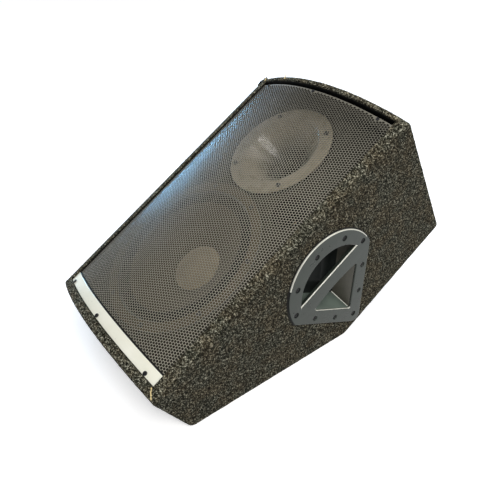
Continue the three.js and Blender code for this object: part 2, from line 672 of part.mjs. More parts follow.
function amplifier() {
  const add = (name, body, material) => put(name, body, material, amp);
  add('amp_panel', ampPlate(), blackSteel);
  add('amp_chassis', chassis(), plainSteel);
  add('heat_sink', heatSink(), blackSteel);
  add('circuit_board', box([-38, -32, -74], [130, -30.4, 74]), greenBoard);
  add('transformer', turnedY(ring(12, 38, -54, -28), [-88, 0], 28), copper);
  for (const [name, x] of KNOBS) add(name, knob(x), blackPlastic);
  add('input_socket', roundSocket(XLR_IN, true), blackPlastic);
  add('input_latch', slab(aboveInput, LATCH.halfX, LATCH.halfZ, 1.4, FACE_Y + 5), plainSteel);
  add('output_socket', roundSocket(XLR_OUT, false), blackPlastic);
  add('ground_lift_button', turnedY(rod(3.8, -14, FACE_Y + 6), BUTTON, 16), blackPlastic);
  add('lamp_lens', turnedY([[0, -6], [2.7, -6], [2.7, FACE_Y + 1], [1.6, FACE_Y + 2.2], [0, FACE_Y + 2.6]],
    LAMP, 16), redLens);
  add('mains_inlet', mainsInlet(), blackPlastic);
  add('fuse_drawer', slab(besideInlet, DRAWER.halfX, DRAWER.halfZ, -13.5, FACE_Y + 3.4), blackPlastic);
  add('switch_bezel', switchBezel(), blackPlastic);
  add('power_rocker', rocker(), blackPlastic);
}

// ---- leads inside the cabinet ---------------------------------------------------------------

function lead(name, points) {
  const path = new THREE.CatmullRomCurve3(points.map((p) => new THREE.Vector3(...p)));
  const section = new THREE.Shape().absarc(0, 0, 2, 0, 2 * Math.PI);
  const geometry = new THREE.ExtrudeGeometry(section, { steps: 16, curveSegments: 4, extrudePath: path });
  put(name, solid(geometry), rubber);
}

function leads() {
  lead('woofer_lead', [
    [-100, 536, -190], [-104, 500, -190], [-108, 420, -165], [-110, 330, -120], [-104, 264, -74],
  ]);
  lead('driver_lead', [
    [60, 536, -185], [60, 515, -186], [54, 490, -176], [44, 478, -160], [38, 474, -150],
  ]);
}

// ---- assembly -------------------------------------------------------------------------------

sidePanels();
shellPanels();
carpets();
baffle();
brace();
front();
handles();
woofer();
horn();
ports();
amplifier();
leads();

// The origin is the middle of the footprint, on the floor.
const extent = new THREE.Box3().setFromObject(wedge, true);
cabinet.position.y = -(extent.min.y + extent.max.y) / 2;

export default wedge;
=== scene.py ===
"""Looks of the stage monitor wedge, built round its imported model.

Pieces are drawn in millimetres in the cabinet's own frame, which leans back with the baffle:
x across, y up the baffle from the low end, z out of the baffle from the long front corners.
The amplifier panel has a frame of its own: x across, y out of the panel, z up.
"""

import json
import math

import bmesh
import bpy
import numpy as np
from mathutils import Matrix, Vector, noise
from mathutils.geometry import delaunay_2d_cdt
from mathutils.kdtree import KDTree


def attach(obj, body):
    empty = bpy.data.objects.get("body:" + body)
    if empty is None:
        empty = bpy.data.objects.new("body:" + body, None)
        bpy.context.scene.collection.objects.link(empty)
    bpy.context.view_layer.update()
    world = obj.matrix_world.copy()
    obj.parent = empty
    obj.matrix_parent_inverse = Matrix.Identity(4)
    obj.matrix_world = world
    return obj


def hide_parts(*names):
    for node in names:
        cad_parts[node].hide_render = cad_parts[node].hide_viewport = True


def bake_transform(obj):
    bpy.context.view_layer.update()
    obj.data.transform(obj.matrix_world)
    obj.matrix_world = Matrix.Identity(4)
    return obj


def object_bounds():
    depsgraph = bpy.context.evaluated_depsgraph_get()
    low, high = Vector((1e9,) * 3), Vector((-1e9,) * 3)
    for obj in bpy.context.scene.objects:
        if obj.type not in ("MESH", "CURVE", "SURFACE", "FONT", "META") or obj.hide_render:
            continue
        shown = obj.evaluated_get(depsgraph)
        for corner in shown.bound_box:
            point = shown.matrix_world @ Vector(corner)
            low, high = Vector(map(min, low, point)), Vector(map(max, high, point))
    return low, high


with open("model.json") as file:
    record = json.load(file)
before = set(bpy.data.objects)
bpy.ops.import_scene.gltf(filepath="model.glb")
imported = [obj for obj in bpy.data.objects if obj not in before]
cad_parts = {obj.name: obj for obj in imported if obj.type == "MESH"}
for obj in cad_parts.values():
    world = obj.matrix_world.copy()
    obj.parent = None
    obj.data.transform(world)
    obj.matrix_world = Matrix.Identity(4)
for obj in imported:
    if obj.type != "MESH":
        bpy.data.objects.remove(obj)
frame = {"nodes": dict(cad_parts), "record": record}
CAD_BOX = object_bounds()

# ---- driving sizes, in millimetres ------------------------------------------------------------

MM = 0.001
TILT = math.radians(30)
HALF = 194.5                    # half the width over the carpet
LENGTH = 600.0
BACK_START = 300.0
LOW_DEPTH = 109.0
BACK_DEPTH = LOW_DEPTH + BACK_START * math.tan(TILT)
TOP_LEAN = 5.0
LEAN = TOP_LEAN / BACK_DEPTH
BOW = 40.0
CARPET = 3.0
OPENING_HALF = 173.5
FRONT_LOW, FRONT_HIGH = 18.3, 589.0
BAFFLE_Z = -5.7

SHEET = 1.0
GRILLE_INSET = 5.3
GRILLE_HALF = 172.7
GRILLE_TOP = 581.4
HOLE_PITCH = 5.0
HOLE_RADIUS = 2.27
HOLE_SIDES = 12
FIRST_HOLE, LAST_HOLE = 40.0, 578.6
FIELD_HALF = 171.0              # half the width that the holes may take
SCREW_CLEAR = 5.6               # from a grille screw to the nearest hole
STRIP_INSET = 3.4
STRIP_SHEET = 1.6
STRIP_TOP = 38.8
STRIP_SCREWS = [(x, 22.6, STRIP_INSET, 3.6) for x in (-150, 0, 150)]
GRILLE_SCREWS = [(x, 578.0, GRILLE_INSET, 3.0) for x in (-146, 0, 146)]

WOOFER = (0.0, 199.0)
HORN = (0.0, 462.5)
PORT = (126.8, 363.6)
PORT_BORE = 27.0

HANDLE_Y = 337.0
HANDLE_CENTRE = 141.0           # depth of the middle of the recess's round part
HANDLE_SLOPE = 0.695            # how fast the recess widens above its point
CUP_RADIUS, CUP_POINT = 78.0, 227.0
PLATE_RADIUS, PLATE_CENTRE = 100.5, 130.0

AMP_DEPTH = 145.0
AMP_HALF = (150.0, 95.0)
AMP_FACE = 2.8                  # back of whatever sits on the panel plate

CABINET = (
    Matrix.Translation((0, CAD_BOX[0].y + BOW * MM * math.sin(TILT), LOW_DEPTH * MM * math.cos(TILT)))
    @ Matrix.Rotation(TILT, 4, "X")
)
AMP = (
    CABINET
    @ Matrix.Translation((0, (LENGTH - AMP_DEPTH * LEAN + 0.3) * MM, -AMP_DEPTH * MM))
    @ Matrix.Rotation(-math.atan(LEAN), 4, "X")
)
SLOT_OF = {row["node"]: row["material_slot"] for row in frame["record"]["subparts"]}


def bow(x):
    return BOW * (1 - (np.asarray(x) / HALF) ** 2)


# ---- materials --------------------------------------------------------------------------------


class Finish:
    """A Principled material whose colour, roughness and bump come from its own nodes."""

    def __init__(self, name, roughness, metallic=0.0, **values):
        self.material = bpy.data.materials.new(name)
        self.material.use_nodes = True
        self.tree = self.material.node_tree
        self.shader = self.tree.nodes["Principled BSDF"]
        self.place = self.node("TexCoord", "Object")
        self.set(Roughness=roughness, Metallic=metallic, **values)

    def link(self, value, socket):
        if isinstance(value, bpy.types.NodeSocket):
            self.tree.links.new(value, socket)
        else:
            socket.default_value = value

    def set(self, **values):
        """Links or sets the shader's sockets. An underscore stands for a space."""
        for name, value in values.items():
            self.link(value, self.shader.inputs[name.replace("_", " ")])

    def node(self, kind, output, inputs=None, **settings):
        """An output of a new node, with its inputs linked or set."""
        node = self.tree.nodes.new(f"ShaderNode{kind}")
        for name, value in settings.items():
            setattr(node, name, value)
        for key, value in (inputs or {}).items():
            self.link(value, node.inputs[key])
        return node.outputs[output]

    def noise(self, size_mm, detail=2.0, rough=0.5, stretch=None, distortion=0.0):
        """Noise whose blotches are about size_mm across."""
        place = self.place
        if stretch:
            place = self.node("Mapping", "Vector", {"Vector": place, "Scale": stretch})
        return self.node("TexNoise", "Fac", {
            "Vector": place, "Scale": 1 / (size_mm * MM), "Detail": detail, "Roughness": rough,
            "Distortion": distortion})

    def cells(self, size_mm, feature="F1"):
        inputs = {"Vector": self.place, "Scale": 1 / (size_mm * MM)}
        return self.node("TexVoronoi", "Distance", inputs, feature=feature)

    def axis(self, name):
        """The place on the piece along one axis."""
        return self.node("SeparateXYZ", name, {"Vector": self.place})

    def outward(self, vector):
        """How far a vector reaches out of the baffle."""
        return self.node("VectorMath", "Value", {0: vector, 1: CABINET.col[2].xyz}, operation="DOT_PRODUCT")

    def maths(self, operation, a, b):
        return self.node("Math", 0, {0: a, 1: b}, operation=operation)

    def ramp(self, factor, stops):
        """Colours along a factor: stops of (position, colour)."""
        node = self.tree.nodes.new("ShaderNodeValToRGB")
        elements = node.color_ramp.elements
        while len(elements) < len(stops):
            elements.new(0.5)
        for element, (position, colour) in zip(elements, stops):
            element.position = position
            element.color = (*colour, 1)
        self.link(factor, node.inputs["Fac"])
        return node.outputs["Color"]

    def blend(self, factor, a, b):
        a, b = (v if isinstance(v, bpy.types.NodeSocket) else (*v, 1) for v in (a, b))
        return self.node("Mix", 2, {"Factor": factor, 6: a, 7: b}, data_type="RGBA")

    def between(self, factor, low, high, start, end):
        """A factor that runs from start to end, mapped to low to high."""
        return self.node("MapRange", 0, {
            "Value": factor, "From Min": start, "From Max": end, "To Min": low, "To Max": high})

    def scaled(self, colour, factor):
        return self.node("VectorMath", "Vector", {0: colour, "Scale": factor}, operation="SCALE")

    def coloured(self, colour):
        self.set(Base_Color=colour)

    def toned(self, factor, dark, pale, start=0.3, end=0.7):
        """The base colour, from dark to pale along a factor."""
        self.coloured(self.ramp(factor, [(start, dark), (end, pale)]))

    def polished(self, factor, low, high):
        """The roughness, from low to high along a noise."""
        self.set(Roughness=self.between(factor, low, high, 0.3, 0.7))

    def bumped(self, height, depth_mm, strength):
        normal = self.shader.inputs["Normal"]
        inputs = {"Height": height, "Distance": depth_mm * MM, "Strength": strength}
        if normal.is_linked:
            inputs["Normal"] = normal.links[0].from_socket
        self.link(self.node("Bump", "Normal", inputs), normal)


def carpet_finish():
    """Needle-punched cabinet carpet: a charcoal heather with olive, brown and pale flecks, painted up to
    nearly twice as bright as painted light on the faces that look out of the baffle.
    """
    f = Finish("carpet_heather", 0.95, Specular_IOR_Level=0.05)
    fine = f.noise(1.7, 2.0, 0.6)
    tufts = f.noise(3.3, 2.0, 0.6, distortion=0.8)
    heather = f.maths("ADD", tufts, f.maths("MULTIPLY", f.maths("SUBTRACT", fine, 0.5), 0.7))
    grey = f.ramp(heather, [
        (0.35, (0.003, 0.003, 0.002)), (0.46, (0.010, 0.010, 0.007)), (0.53, (0.027, 0.0265, 0.019)),
        (0.61, (0.074, 0.073, 0.055)), (0.71, (0.22, 0.215, 0.17)),
    ])
    brown = f.ramp(heather, [
        (0.35, (0.004, 0.003, 0.002)), (0.49, (0.020, 0.017, 0.011)), (0.61, (0.072, 0.063, 0.042)),
        (0.71, (0.20, 0.18, 0.13)),
    ])
    patches = f.between(f.noise(30, 3.0, 0.6), 0, 1, 0.42, 0.62)
    # Painted light: faces that look out of the baffle get their colour scaled up to 1.95 times.
    painted_front_light = f.outward(f.node("NewGeometry", "Normal"))
    f.coloured(f.scaled(f.blend(patches, grey, brown), f.between(painted_front_light, 1.0, 1.95, 0.6, 0.85)))
    f.bumped(tufts, 1.6, 0.7)
    f.bumped(fine, 0.7, 0.8)
    return f.material


def plain_fibre(name, colour):
    return Finish(name, 0.9, Base_Color=(*colour, 1), Specular_IOR_Level=0.1).material


def shades(colour, *factors):
    return [[c * factor for c in colour] for factor in factors]


def powder_coat(name, colour, roughness, grain_mm=0.5):
    """Painted steel: an even coat with a fine orange peel and slightly duller patches."""
    f = Finish(name, roughness)
    worn = f.noise(45, 4.0, 0.6)
    f.toned(worn, *shades(colour, 0.8, 1.2))
    f.polished(worn, roughness - 0.04, roughness + 0.06)
    f.bumped(f.noise(grain_mm, 2.0), 0.05, 0.25)
    return f.material


def grille_finish():
    """Olive-grey powder coat, with painted shade darkening it towards the top end."""
    f = Finish("grille_powder_coat", 0.34)
    coat = f.ramp(f.noise(45, 4.0, 0.6), [(0.3, (0.302, 0.285, 0.225)), (0.7, (0.333, 0.315, 0.250))])
    # Painted shade: the colour is scaled down to 0.42 times over the top end of the grille.
    f.coloured(f.scaled(coat, f.between(f.axis("Y"), 1.0, 0.42, 0.40, 0.565)))
    f.bumped(f.noise(0.4, 2.0), 0.05, 0.25)
    return f.material


def anodised_strip():
    """Satin champagne aluminium, brushed along its length, with a few dark specks."""
    f = Finish("strip_anodised", 0.36, 0.35)
    brushed = f.noise(0.7, 3.0, 0.7, stretch=(0.03, 1, 1))
    tone = f.ramp(f.noise(60, 3.0), [(0.3, (0.88, 0.87, 0.72)), (0.7, (0.98, 0.97, 0.84))])
    f.coloured(f.blend(f.between(f.cells(7.0), 0.0, 1.0, 0.035, 0.075), (0.16, 0.15, 0.13), tone))
    f.polished(brushed, 0.28, 0.46)
    f.bumped(brushed, 0.04, 0.35)
    return f.material


def moulded(name, colour, roughness, grain_mm=0.6, depth=0.06, **values):
    """Moulded plastic with a fine texture and a little dust in its tone."""
    f = Finish(name, roughness, **values)
    dust = f.noise(30, 5.0, 0.65)
    f.toned(dust, *shades(colour, 0.85, 1.2), end=0.72)
    f.polished(dust, roughness - 0.05, roughness + 0.07)
    f.bumped(f.cells(grain_mm), depth, 0.4)
    return f.material


def metal(name, colour, roughness, stretch=None):
    f = Finish(name, roughness, 0.95)
    marks = f.noise(1.2, 4.0, 0.6, stretch=stretch)
    f.toned(marks, *shades(colour, 0.8, 1.1))
    f.polished(marks, roughness - 0.08, roughness + 0.1)
    f.bumped(marks, 0.03, 0.3)
    return f.material


def plywood_finish():
    """Birch plywood with stretched grain and pores, painted black in front of the baffle."""
    f = Finish("plywood_birch", 0.7, Specular_IOR_Level=0.1)
    grain = f.noise(9, 5.0, 0.6, stretch=(1, 0.08, 1), distortion=1.2)
    bare = f.ramp(grain, [(0.35, (0.36, 0.24, 0.12)), (0.65, (0.52, 0.38, 0.22))])
    front = CABINET.translation.dot(CABINET.col[2].xyz) + (BAFFLE_Z - 18) * MM
    painted = f.between(f.outward(f.place), 0, 1, front, front + 0.001)
    f.coloured(f.blend(painted, bare, (0.010, 0.010, 0.009)))
    f.bumped(f.noise(1.5, 3.0, 0.6, stretch=(1, 0.05, 1)), 0.2, 0.4)
    return f.material


def board_paint():
    """Rolled texture paint, dark olive grey, with dust in its tone."""
    f = Finish("board_paint", 0.75, Specular_IOR_Level=0.1)
    f.toned(f.noise(22, 5.0, 0.7), (0.020, 0.019, 0.014), (0.036, 0.034, 0.025))
    f.bumped(f.noise(2.2, 4.0, 0.6), 0.5, 0.6)
    return f.material


def paper_cone():
    """Pressed pulp, its fibres in every direction."""
    f = Finish("cone_pulp", 0.62, Specular_IOR_Level=0.15)
    pulp = f.noise(2.5, 5.0, 0.75, distortion=2.0)
    f.toned(pulp, (0.042, 0.034, 0.022), (0.062, 0.051, 0.034), 0.35, 0.65)
    f.bumped(pulp, 0.3, 0.5)
    return f.material


def woven(name, light, dark, thread_mm):
    f = Finish(name, 0.85)
    warp, weft = (f.noise(thread_mm, 1.0, stretch=stretch) for stretch in ((1, 0.2, 1), (0.2, 1, 1)))
    threads = f.maths("MULTIPLY", warp, weft)
    f.toned(threads, dark, light, 0.15, 0.35)
    f.bumped(threads, 0.25, 0.6)
    return f.material


def circuit_finish():
    f = Finish("circuit_green", 0.4)
    tracks = f.cells(5.0, "DISTANCE_TO_EDGE")
    f.toned(tracks, (0.03, 0.20, 0.08), (0.015, 0.09, 0.035), 0.06, 0.12)
    f.bumped(tracks, 0.1, 0.3)
    return f.material


def horn_finish():
    """Glossy tan moulding, with dust in its tone at the mouth and painted shade darkening it down the throat.
    """
    f = Finish("horn_gloss", 0.26, Coat_Weight=0.4)
    dust = f.noise(30, 5.0, 0.65)
    tan = f.ramp(dust, [(0.3, (0.28, 0.24, 0.165)), (0.7, (0.33, 0.285, 0.20))])
    # Painted shade: the colour fades to near black with depth down the throat.
    f.coloured(f.blend(f.between(f.axis("Z"), 0, 1, -0.048, -0.014), (0.006, 0.006, 0.005), tan))
    f.polished(dust, 0.22, 0.36)
    f.bumped(f.cells(1.2), 0.04, 0.4)
    return f.material


def lens_finish():
    f = Finish("lens_red", 0.15, Transmission_Weight=0.4)
    f.toned(f.noise(1.0, 2.0), (0.40, 0.015, 0.012), (0.60, 0.03, 0.02))
    f.bumped(f.cells(0.8), 0.05, 0.3)
    return f.material


FINISHES = {
    "carpet": carpet_finish(),
    "plywood": plywood_finish(),
    "board_paint": board_paint(),
    "grille_steel": grille_finish(),
    "strip_aluminium": anodised_strip(),
    "screw_black": metal("screw_black_oxide", (0.05, 0.05, 0.052), 0.38),
    "handle_plastic": moulded("handle_slate", (0.019, 0.025, 0.020), 0.30, Specular_IOR_Level=0.30),
    "basket_steel": powder_coat("basket_enamel", (0.035, 0.034, 0.030), 0.35, 0.8),
    "rubber": moulded("rubber_matt", (0.012, 0.012, 0.011), 0.68, 0.9, Specular_IOR_Level=0.15),
    "cone_pulp": paper_cone(),
    "steel": metal("steel_zinc", (0.55, 0.55, 0.54), 0.34),
    "ferrite": moulded("ferrite_ground", (0.035, 0.035, 0.038), 0.6, 0.4, 0.1),
    "copper": metal("copper_enamelled", (0.62, 0.28, 0.14), 0.3, (1, 1, 8)),
    "spider_cloth": woven("spider_cloth", (0.50, 0.36, 0.15), (0.30, 0.20, 0.07), 0.5),
    "horn_plastic": horn_finish(),
    "titanium": metal("titanium_foil", (0.42, 0.42, 0.44), 0.28),
    "black_plastic": moulded("plastic_black", (0.022, 0.022, 0.023), 0.42, 0.5),
    "panel_paint": powder_coat("panel_powder_coat", (0.024, 0.024, 0.026), 0.46, 0.6),
    "green_board": circuit_finish(),
    "red_lens": lens_finish(),
}

# A dark finish for the walls of the holes and the back of the sheet, standing in for the shade inside the
# holes.
HOLE_SHADE = powder_coat("grille_hole_shade", (0.035, 0.034, 0.029), 0.6, 0.4)
# Pale rubbed plastic that also stands in for the highlight along the handle's rim, grip and crease.
PALE_RUB_AND_HIGHLIGHT = moulded("handle_rub_and_highlight", (0.46, 0.46, 0.40), 0.30, Coat_Weight=0.5)
# Lit and shaded copies of the handle plastic for the recess's two facets: a pale teal one as painted light, a
# darker brown one as painted shade.
FACET_LIGHT_AND_SHADE = (
    moulded("handle_lit_facet", (0.085, 0.108, 0.09), 0.35),
    moulded("handle_shaded_facet", (0.042, 0.040, 0.029), 0.4),
)
# A near-black finish that stands in for shade: the handle's side rim, its screw wells and the inside of the
# recess.
SHADE_BLACK = moulded("handle_painted_shade", (0.007, 0.009, 0.008), 0.45, Specular_IOR_Level=0.15)
PAINTED_SCREW = moulded("screw_paint", (0.010, 0.010, 0.010), 0.4, 0.3, Specular_IOR_Level=0.3)

# ---- shapes: each is (points, faces) ----------------------------------------------------------


def grid_faces(rows, columns, close_rows=False, close_columns=True):
    """Quads of a grid of points, joined up round the columns, and round the rows where asked."""
    i, j = np.meshgrid(
        np.arange(rows if close_rows else rows - 1),
        np.arange(columns if close_columns else columns - 1), indexing="ij",
    )
    a, b = i * columns, (i + 1) % rows * columns
    k = (j + 1) % columns
    return np.stack([a + j, a + k, b + k, b + j], -1).reshape(-1, 4).tolist()


def joined(*shapes):
    points, faces, start = [], [], 0
    for shape_points, shape_faces in shapes:
        points.append(np.asarray(shape_points, float))
        faces += [[start + i for i in face] for face in shape_faces]
        start += len(shape_points)
    return np.concatenate(points), faces


def moved(shape, matrix):
    """The shape under a 4x4 matrix, in millimetres."""
    matrix = np.array(matrix)
    points, faces = shape
    turned_over = np.linalg.det(matrix[:3, :3]) < 0
    return np.asarray(points) @ matrix[:3, :3].T + matrix[:3, 3], (
        [face[::-1] for face in faces] if turned_over else faces)


def shifted(shape, x=0.0, y=0.0, z=0.0):
    return moved(shape, Matrix.Translation((x, y, z)))


MIRROR = Matrix.Diagonal((-1, 1, 1, 1))


def rounded(points, radii, steps=5, closed=True):
    """A path with its corners replaced by arcs. radii is one radius, or one for each corner."""
    points = [np.array(p, float) for p in points]
    count = len(points)
    radii = [radii] * count if np.isscalar(radii) else radii
    path = []
    for i, (corner, radius) in enumerate(zip(points, radii)):
        if radius <= 0 or (not closed and i in (0, count - 1)):
            path.append(corner)
            continue
        back, on = points[i - 1] - corner, points[(i + 1) % count] - corner
        reach = min(np.linalg.norm(back), np.linalg.norm(on)) * 0.48
        back, on = back / np.linalg.norm(back), on / np.linalg.norm(on)
        half = math.acos(float(np.clip(back @ on, -1, 1))) / 2
        run = min(radius / math.tan(half), reach)
        centre = corner + (back + on) / np.linalg.norm(back + on) * (run / math.cos(half))
        start, end, turn = corner + back * run - centre, corner + on * run - centre, math.pi - 2 * half
        path += [centre + (start * math.sin((1 - t) * turn) + end * math.sin(t * turn)) / math.sin(turn)
                 for t in np.linspace(0, 1, steps + 1)]
    return np.array(path)


def lathe(profile, centre=(0.0, 0.0), segments=96, closed=True):
    """A profile of (radius, z) points turned about an axis along z."""
    profile = np.array(profile, float)
    angles = np.linspace(0, 2 * np.pi, segments, endpoint=False)
    around = np.stack([np.cos(angles), np.sin(angles)], -1)
    points = np.zeros((len(profile), segments, 3))
    points[..., :2] = profile[:, None, :1] * around + np.array(centre)
    points[..., 2] = profile[:, 1:]
    return points.reshape(-1, 3), grid_faces(len(profile), segments, close_rows=closed)


def loft(rings, capped=True):
    """A skin over closed rings of points, with a flat cap at each end where asked."""
    rings = np.array(rings, float)
    rows, columns = rings.shape[:2]
    faces = grid_faces(rows, columns)
    if capped:
        faces += [list(range(columns))[::-1], list(range((rows - 1) * columns, rows * columns))]
    return rings.reshape(-1, 3), faces


def circle(radius, centre=(0.0, 0.0), steps=32, start=0.0):
    angles = np.linspace(0, 2 * np.pi, steps, endpoint=False) + start
    return np.stack([centre[0] + radius * np.cos(angles), centre[1] + radius * np.sin(angles)], -1)


def rectangle(x0, y0, x1, y1, radius=0.0, steps=4):
    corners = [(x0, y0), (x1, y0), (x1, y1), (x0, y1)]
    return rounded(corners, radius, steps) if radius else np.array(corners, float)


def arc_section(middle, foot, radius, start, end, steps=14):
    """Points along an arc about (middle, foot), from one angle to another in degrees."""
    angles = np.radians(np.linspace(start, end, steps))
    return [(middle + radius * math.cos(a), foot + radius * math.sin(a)) for a in angles]


def mesh_shape(source):
    """The evaluated mesh of an object as a shape. The object is removed."""
    bpy.context.view_layer.update()
    mesh = bpy.data.meshes.new_from_object(source.evaluated_get(bpy.context.evaluated_depsgraph_get()))
    points = np.zeros(len(mesh.vertices) * 3)
    mesh.vertices.foreach_get("co", points)
    faces = [list(p.vertices) for p in mesh.polygons]
    bpy.data.objects.remove(source)
    bpy.data.meshes.remove(mesh)
    return points.reshape(-1, 3), faces


def plate(outlines, low, high, bevel):
    """A flat plate from height low to high: its edge, then its holes, all with rounded rims."""
    curve = bpy.data.curves.new("plate", "CURVE")
    curve.dimensions = "2D"
    curve.fill_mode = "BOTH"
    curve.extrude = (high - low) / 2 - bevel
    curve.bevel_depth = bevel
    curve.bevel_resolution = 2
    curve.offset = -bevel
    for outline in outlines:
        spline = curve.splines.new("POLY")
        spline.points.add(len(outline) - 1)
        for point, (a, b) in zip(spline.points, outline):
            point.co = (a, b, 0, 1)
        spline.use_cyclic_u = True
    points, faces = mesh_shape(added("plate", curve))
    return points + (0, 0, (low + high) / 2), faces


def added(name, data):
    """A new object of the scene."""
    ob = bpy.data.objects.new(name, data)
    bpy.context.collection.objects.link(ob)
    return ob


def mesh_from(name, shape):
    mesh = bpy.data.meshes.new(name)
    mesh.from_pydata(shape[0].tolist(), [], shape[1])
    return mesh


def temporary(shape):
    mesh = mesh_from("temporary", shape)
    cleaned(mesh)
    return added("temporary", mesh)


def cleaned(mesh):
    """Merges coincident points and turns the faces outwards."""
    work = bmesh.new()
    work.from_mesh(mesh)
    bmesh.ops.remove_doubles(work, verts=work.verts, dist=1e-4)
    bmesh.ops.recalc_face_normals(work, faces=work.faces)
    work.to_mesh(mesh)
    work.free()


def carved(base, *steps):
    """The base shape after boolean steps, each (operation, shape)."""
    target = temporary(base)
    tools = []
    for operation, shape in steps:
        tool = temporary(shape)
        cut = target.modifiers.new("cut", "BOOLEAN")
        cut.operation, cut.object, cut.solver = operation, tool, "MANIFOLD"
        tools.append(tool)
    result = mesh_shape(target)
    for tool in tools:
        bpy.data.objects.remove(tool)
    return result


def bar(low, high):
    """A plain box between two corners."""
    points = [(x, y, z) for x in (low[0], high[0]) for y in (low[1], high[1]) for z in (low[2], high[2])]
    return np.array(points), [
        [0, 1, 3, 2], [4, 6, 7, 5], [0, 4, 5, 1], [2, 3, 7, 6], [0, 2, 6, 4], [1, 5, 7, 3]]


def cross_screw(radius, height=2.2):
    """A pan-head screw with a cross recess, standing on z = 0 with a stub of its shank below."""
    arm, half = radius * 0.58, radius * 0.15
    cross = [(c * a - s * b, s * a + c * b) for c, s in ((1, 0), (0, 1), (-1, 0), (0, -1))
             for a, b in ((half, -half), (arm, -half), (arm, half))]
    top = plate([circle(radius, steps=28), cross], height * 0.35, height, height * 0.3)
    foot = lathe(rectangle(0, 0, radius, height * 0.45, 0.15, 2), segments=28)
    shank = lathe(rectangle(0, -6, radius * 0.5, 0.1), segments=16)
    return joined(top, foot, shank)


def piece(name, shape, slot, body="root", stands_for=(), place=CABINET, finish=None, sharp=38.0, tidy=True,
          level=False):
    """A shown object made from a shape in millimetres, riding on a body. level gives it the world's axes."""
    mesh = mesh_from(name, shape)
    if tidy:
        cleaned(mesh)
    mesh.transform(Matrix.Diagonal((MM, MM, MM, 1)))
    if level:
        mesh.transform(place)
        place = Matrix.Identity(4)
    mesh.shade_smooth()
    mesh.set_sharp_from_angle(angle=math.radians(sharp))
    mesh.materials.append(finish or FINISHES[slot])
    ob = added(name, mesh)
    ob.matrix_world = place
    if tidy:
        shading = ob.modifiers.new("shading", "WEIGHTED_NORMAL")
        shading.keep_sharp = True
    if body:
        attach(ob, body)
    if stands_for:
        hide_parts(*stands_for)
    return ob


def pair(name, shape, slot, stands_for="", **options):
    """The same piece on the right and, mirrored, on the left."""
    return [
        piece(f"{name}_{side}", made, slot, stands_for=stands_for and [f"{stands_for}_{side}"], **options)
        for side, made in (("right", shape), ("left", moved(shape, MIRROR)))]


def paint(ob, finishes, index):
    """Further finishes on an object, and the number of the one on each face."""
    for finish in finishes:
        ob.data.materials.append(finish)
    ob.data.polygons.foreach_set("material_index", np.array(index, np.int32))


# ---- camera, lights and floor -----------------------------------------------------------------


def camera():
    data = bpy.data.cameras.new("camera")
    data.lens = 35.46
    data.sensor_width = 36
    data.shift_x = 0.006
    data.clip_end = 20
    ob = added("camera", data)
    ob.location = (0.6750, -0.4647, 0.6749)
    ob.rotation_euler = [math.radians(a) for a in (56.570, 2.735, 53.731)]
    bpy.context.scene.camera = ob


def area_light(name, place, target, size, power, colour):
    data = bpy.data.lights.new(name, "AREA")
    data.shape = "RECTANGLE"
    data.size, data.size_y = size
    data.energy = power
    data.color = colour
    ob = added(name, data)
    ob.location = place
    ob.rotation_euler = (Vector(target) - Vector(place)).to_track_quat("-Z", "Y").to_euler()


def studio():
    """Soft white surroundings, a blue window on the left and two lamps over a white floor, all in metres."""
    bpy.context.scene.view_settings.view_transform = "Standard"
    world = bpy.data.worlds.new("world")
    bpy.context.scene.world = world
    world.use_nodes = True
    background = world.node_tree.nodes["Background"].inputs
    background["Color"].default_value = (0.93, 0.95, 1.0, 1)
    background["Strength"].default_value = 0.45
    area_light("sky_low", (-2.5, 0.45, 0.42), (-0.1, 0.05, 0.25), (1.0, 0.45), 30, (0.25, 0.62, 1.0))
    area_light("sky_high", (-2.3, 0.0, 1.25), (0, 0, 0.25), (1.6, 0.9), 10, (0.72, 0.84, 1.0))
    area_light("key_high", (0.9, 0.9, 2.6), (0, 0, 0.2), (1.2, 1.2), 30, (1.0, 0.97, 0.92))
    area_light("key_side", (1.7, -0.55, 2.0), (0, 0, 0.2), (0.9, 0.9), 34, (1.0, 0.98, 0.95))

    side = 40.0
    corners = np.array([(-side, -side, 0), (side, -side, 0), (side, side, 0), (-side, side, 0)])
    floor = added("floor", mesh_from("floor", (corners, [(0, 1, 2, 3)])))
    f = Finish("floor_paper", 0.9, Emission_Color=(1, 1, 1, 1))
    f.toned(f.noise(400, 3.0), [0.86] * 3, [0.89] * 3)
    away = f.node("VectorMath", "Value", {0: f.place}, operation="LENGTH")
    f.set(Emission_Strength=f.between(away, 0.47, 0.62, 0.7, 1.7))
    floor.data.materials.append(f.material)


# ---- carpet -----------------------------------------------------------------------------------

EDGE_ROUND = 5.0                # long edges of the cabinet
CORNER_ROUND = (6.0, 6.0, 9.0, 4.0, 16.0)
ARC_STEPS = 6                   # on each corner of the side outline
THREAD_STEP = 4.2               # spacing of the carpet's mesh
FIBRES = [                      # each is (name, share, colour)
    ("dark", 0.25, (0.006, 0.006, 0.005)), ("charcoal", 0.32, (0.018, 0.018, 0.014)),
    ("olive", 0.2, (0.050, 0.048, 0.034)), ("brown", 0.1, (0.075, 0.060, 0.038)),
    ("pale", 0.13, (0.26, 0.25, 0.19)),
]


def side_corners(x):
    """The side outline at x, clockwise in y and z, its front edge on the bow."""
    front = float(bow(x))
    return [
        (0.0, front), (LENGTH + front * LEAN, front), (LENGTH - TOP_LEAN, -BACK_DEPTH),
        (BACK_START, -BACK_DEPTH), (0.0, -LOW_DEPTH),
    ]


def inset(corners, distance):
    """A clockwise outline moved inwards."""
    corners = np.array(corners, float)
    along = np.roll(corners, -1, 0) - corners
    along /= np.linalg.norm(along, axis=1)[:, None]
    inward = np.stack([along[:, 1], -along[:, 0]], -1)
    both = inward + np.roll(inward, 1, 0)
    return corners + both * (2 * distance / np.sum(both ** 2, 1))[:, None]


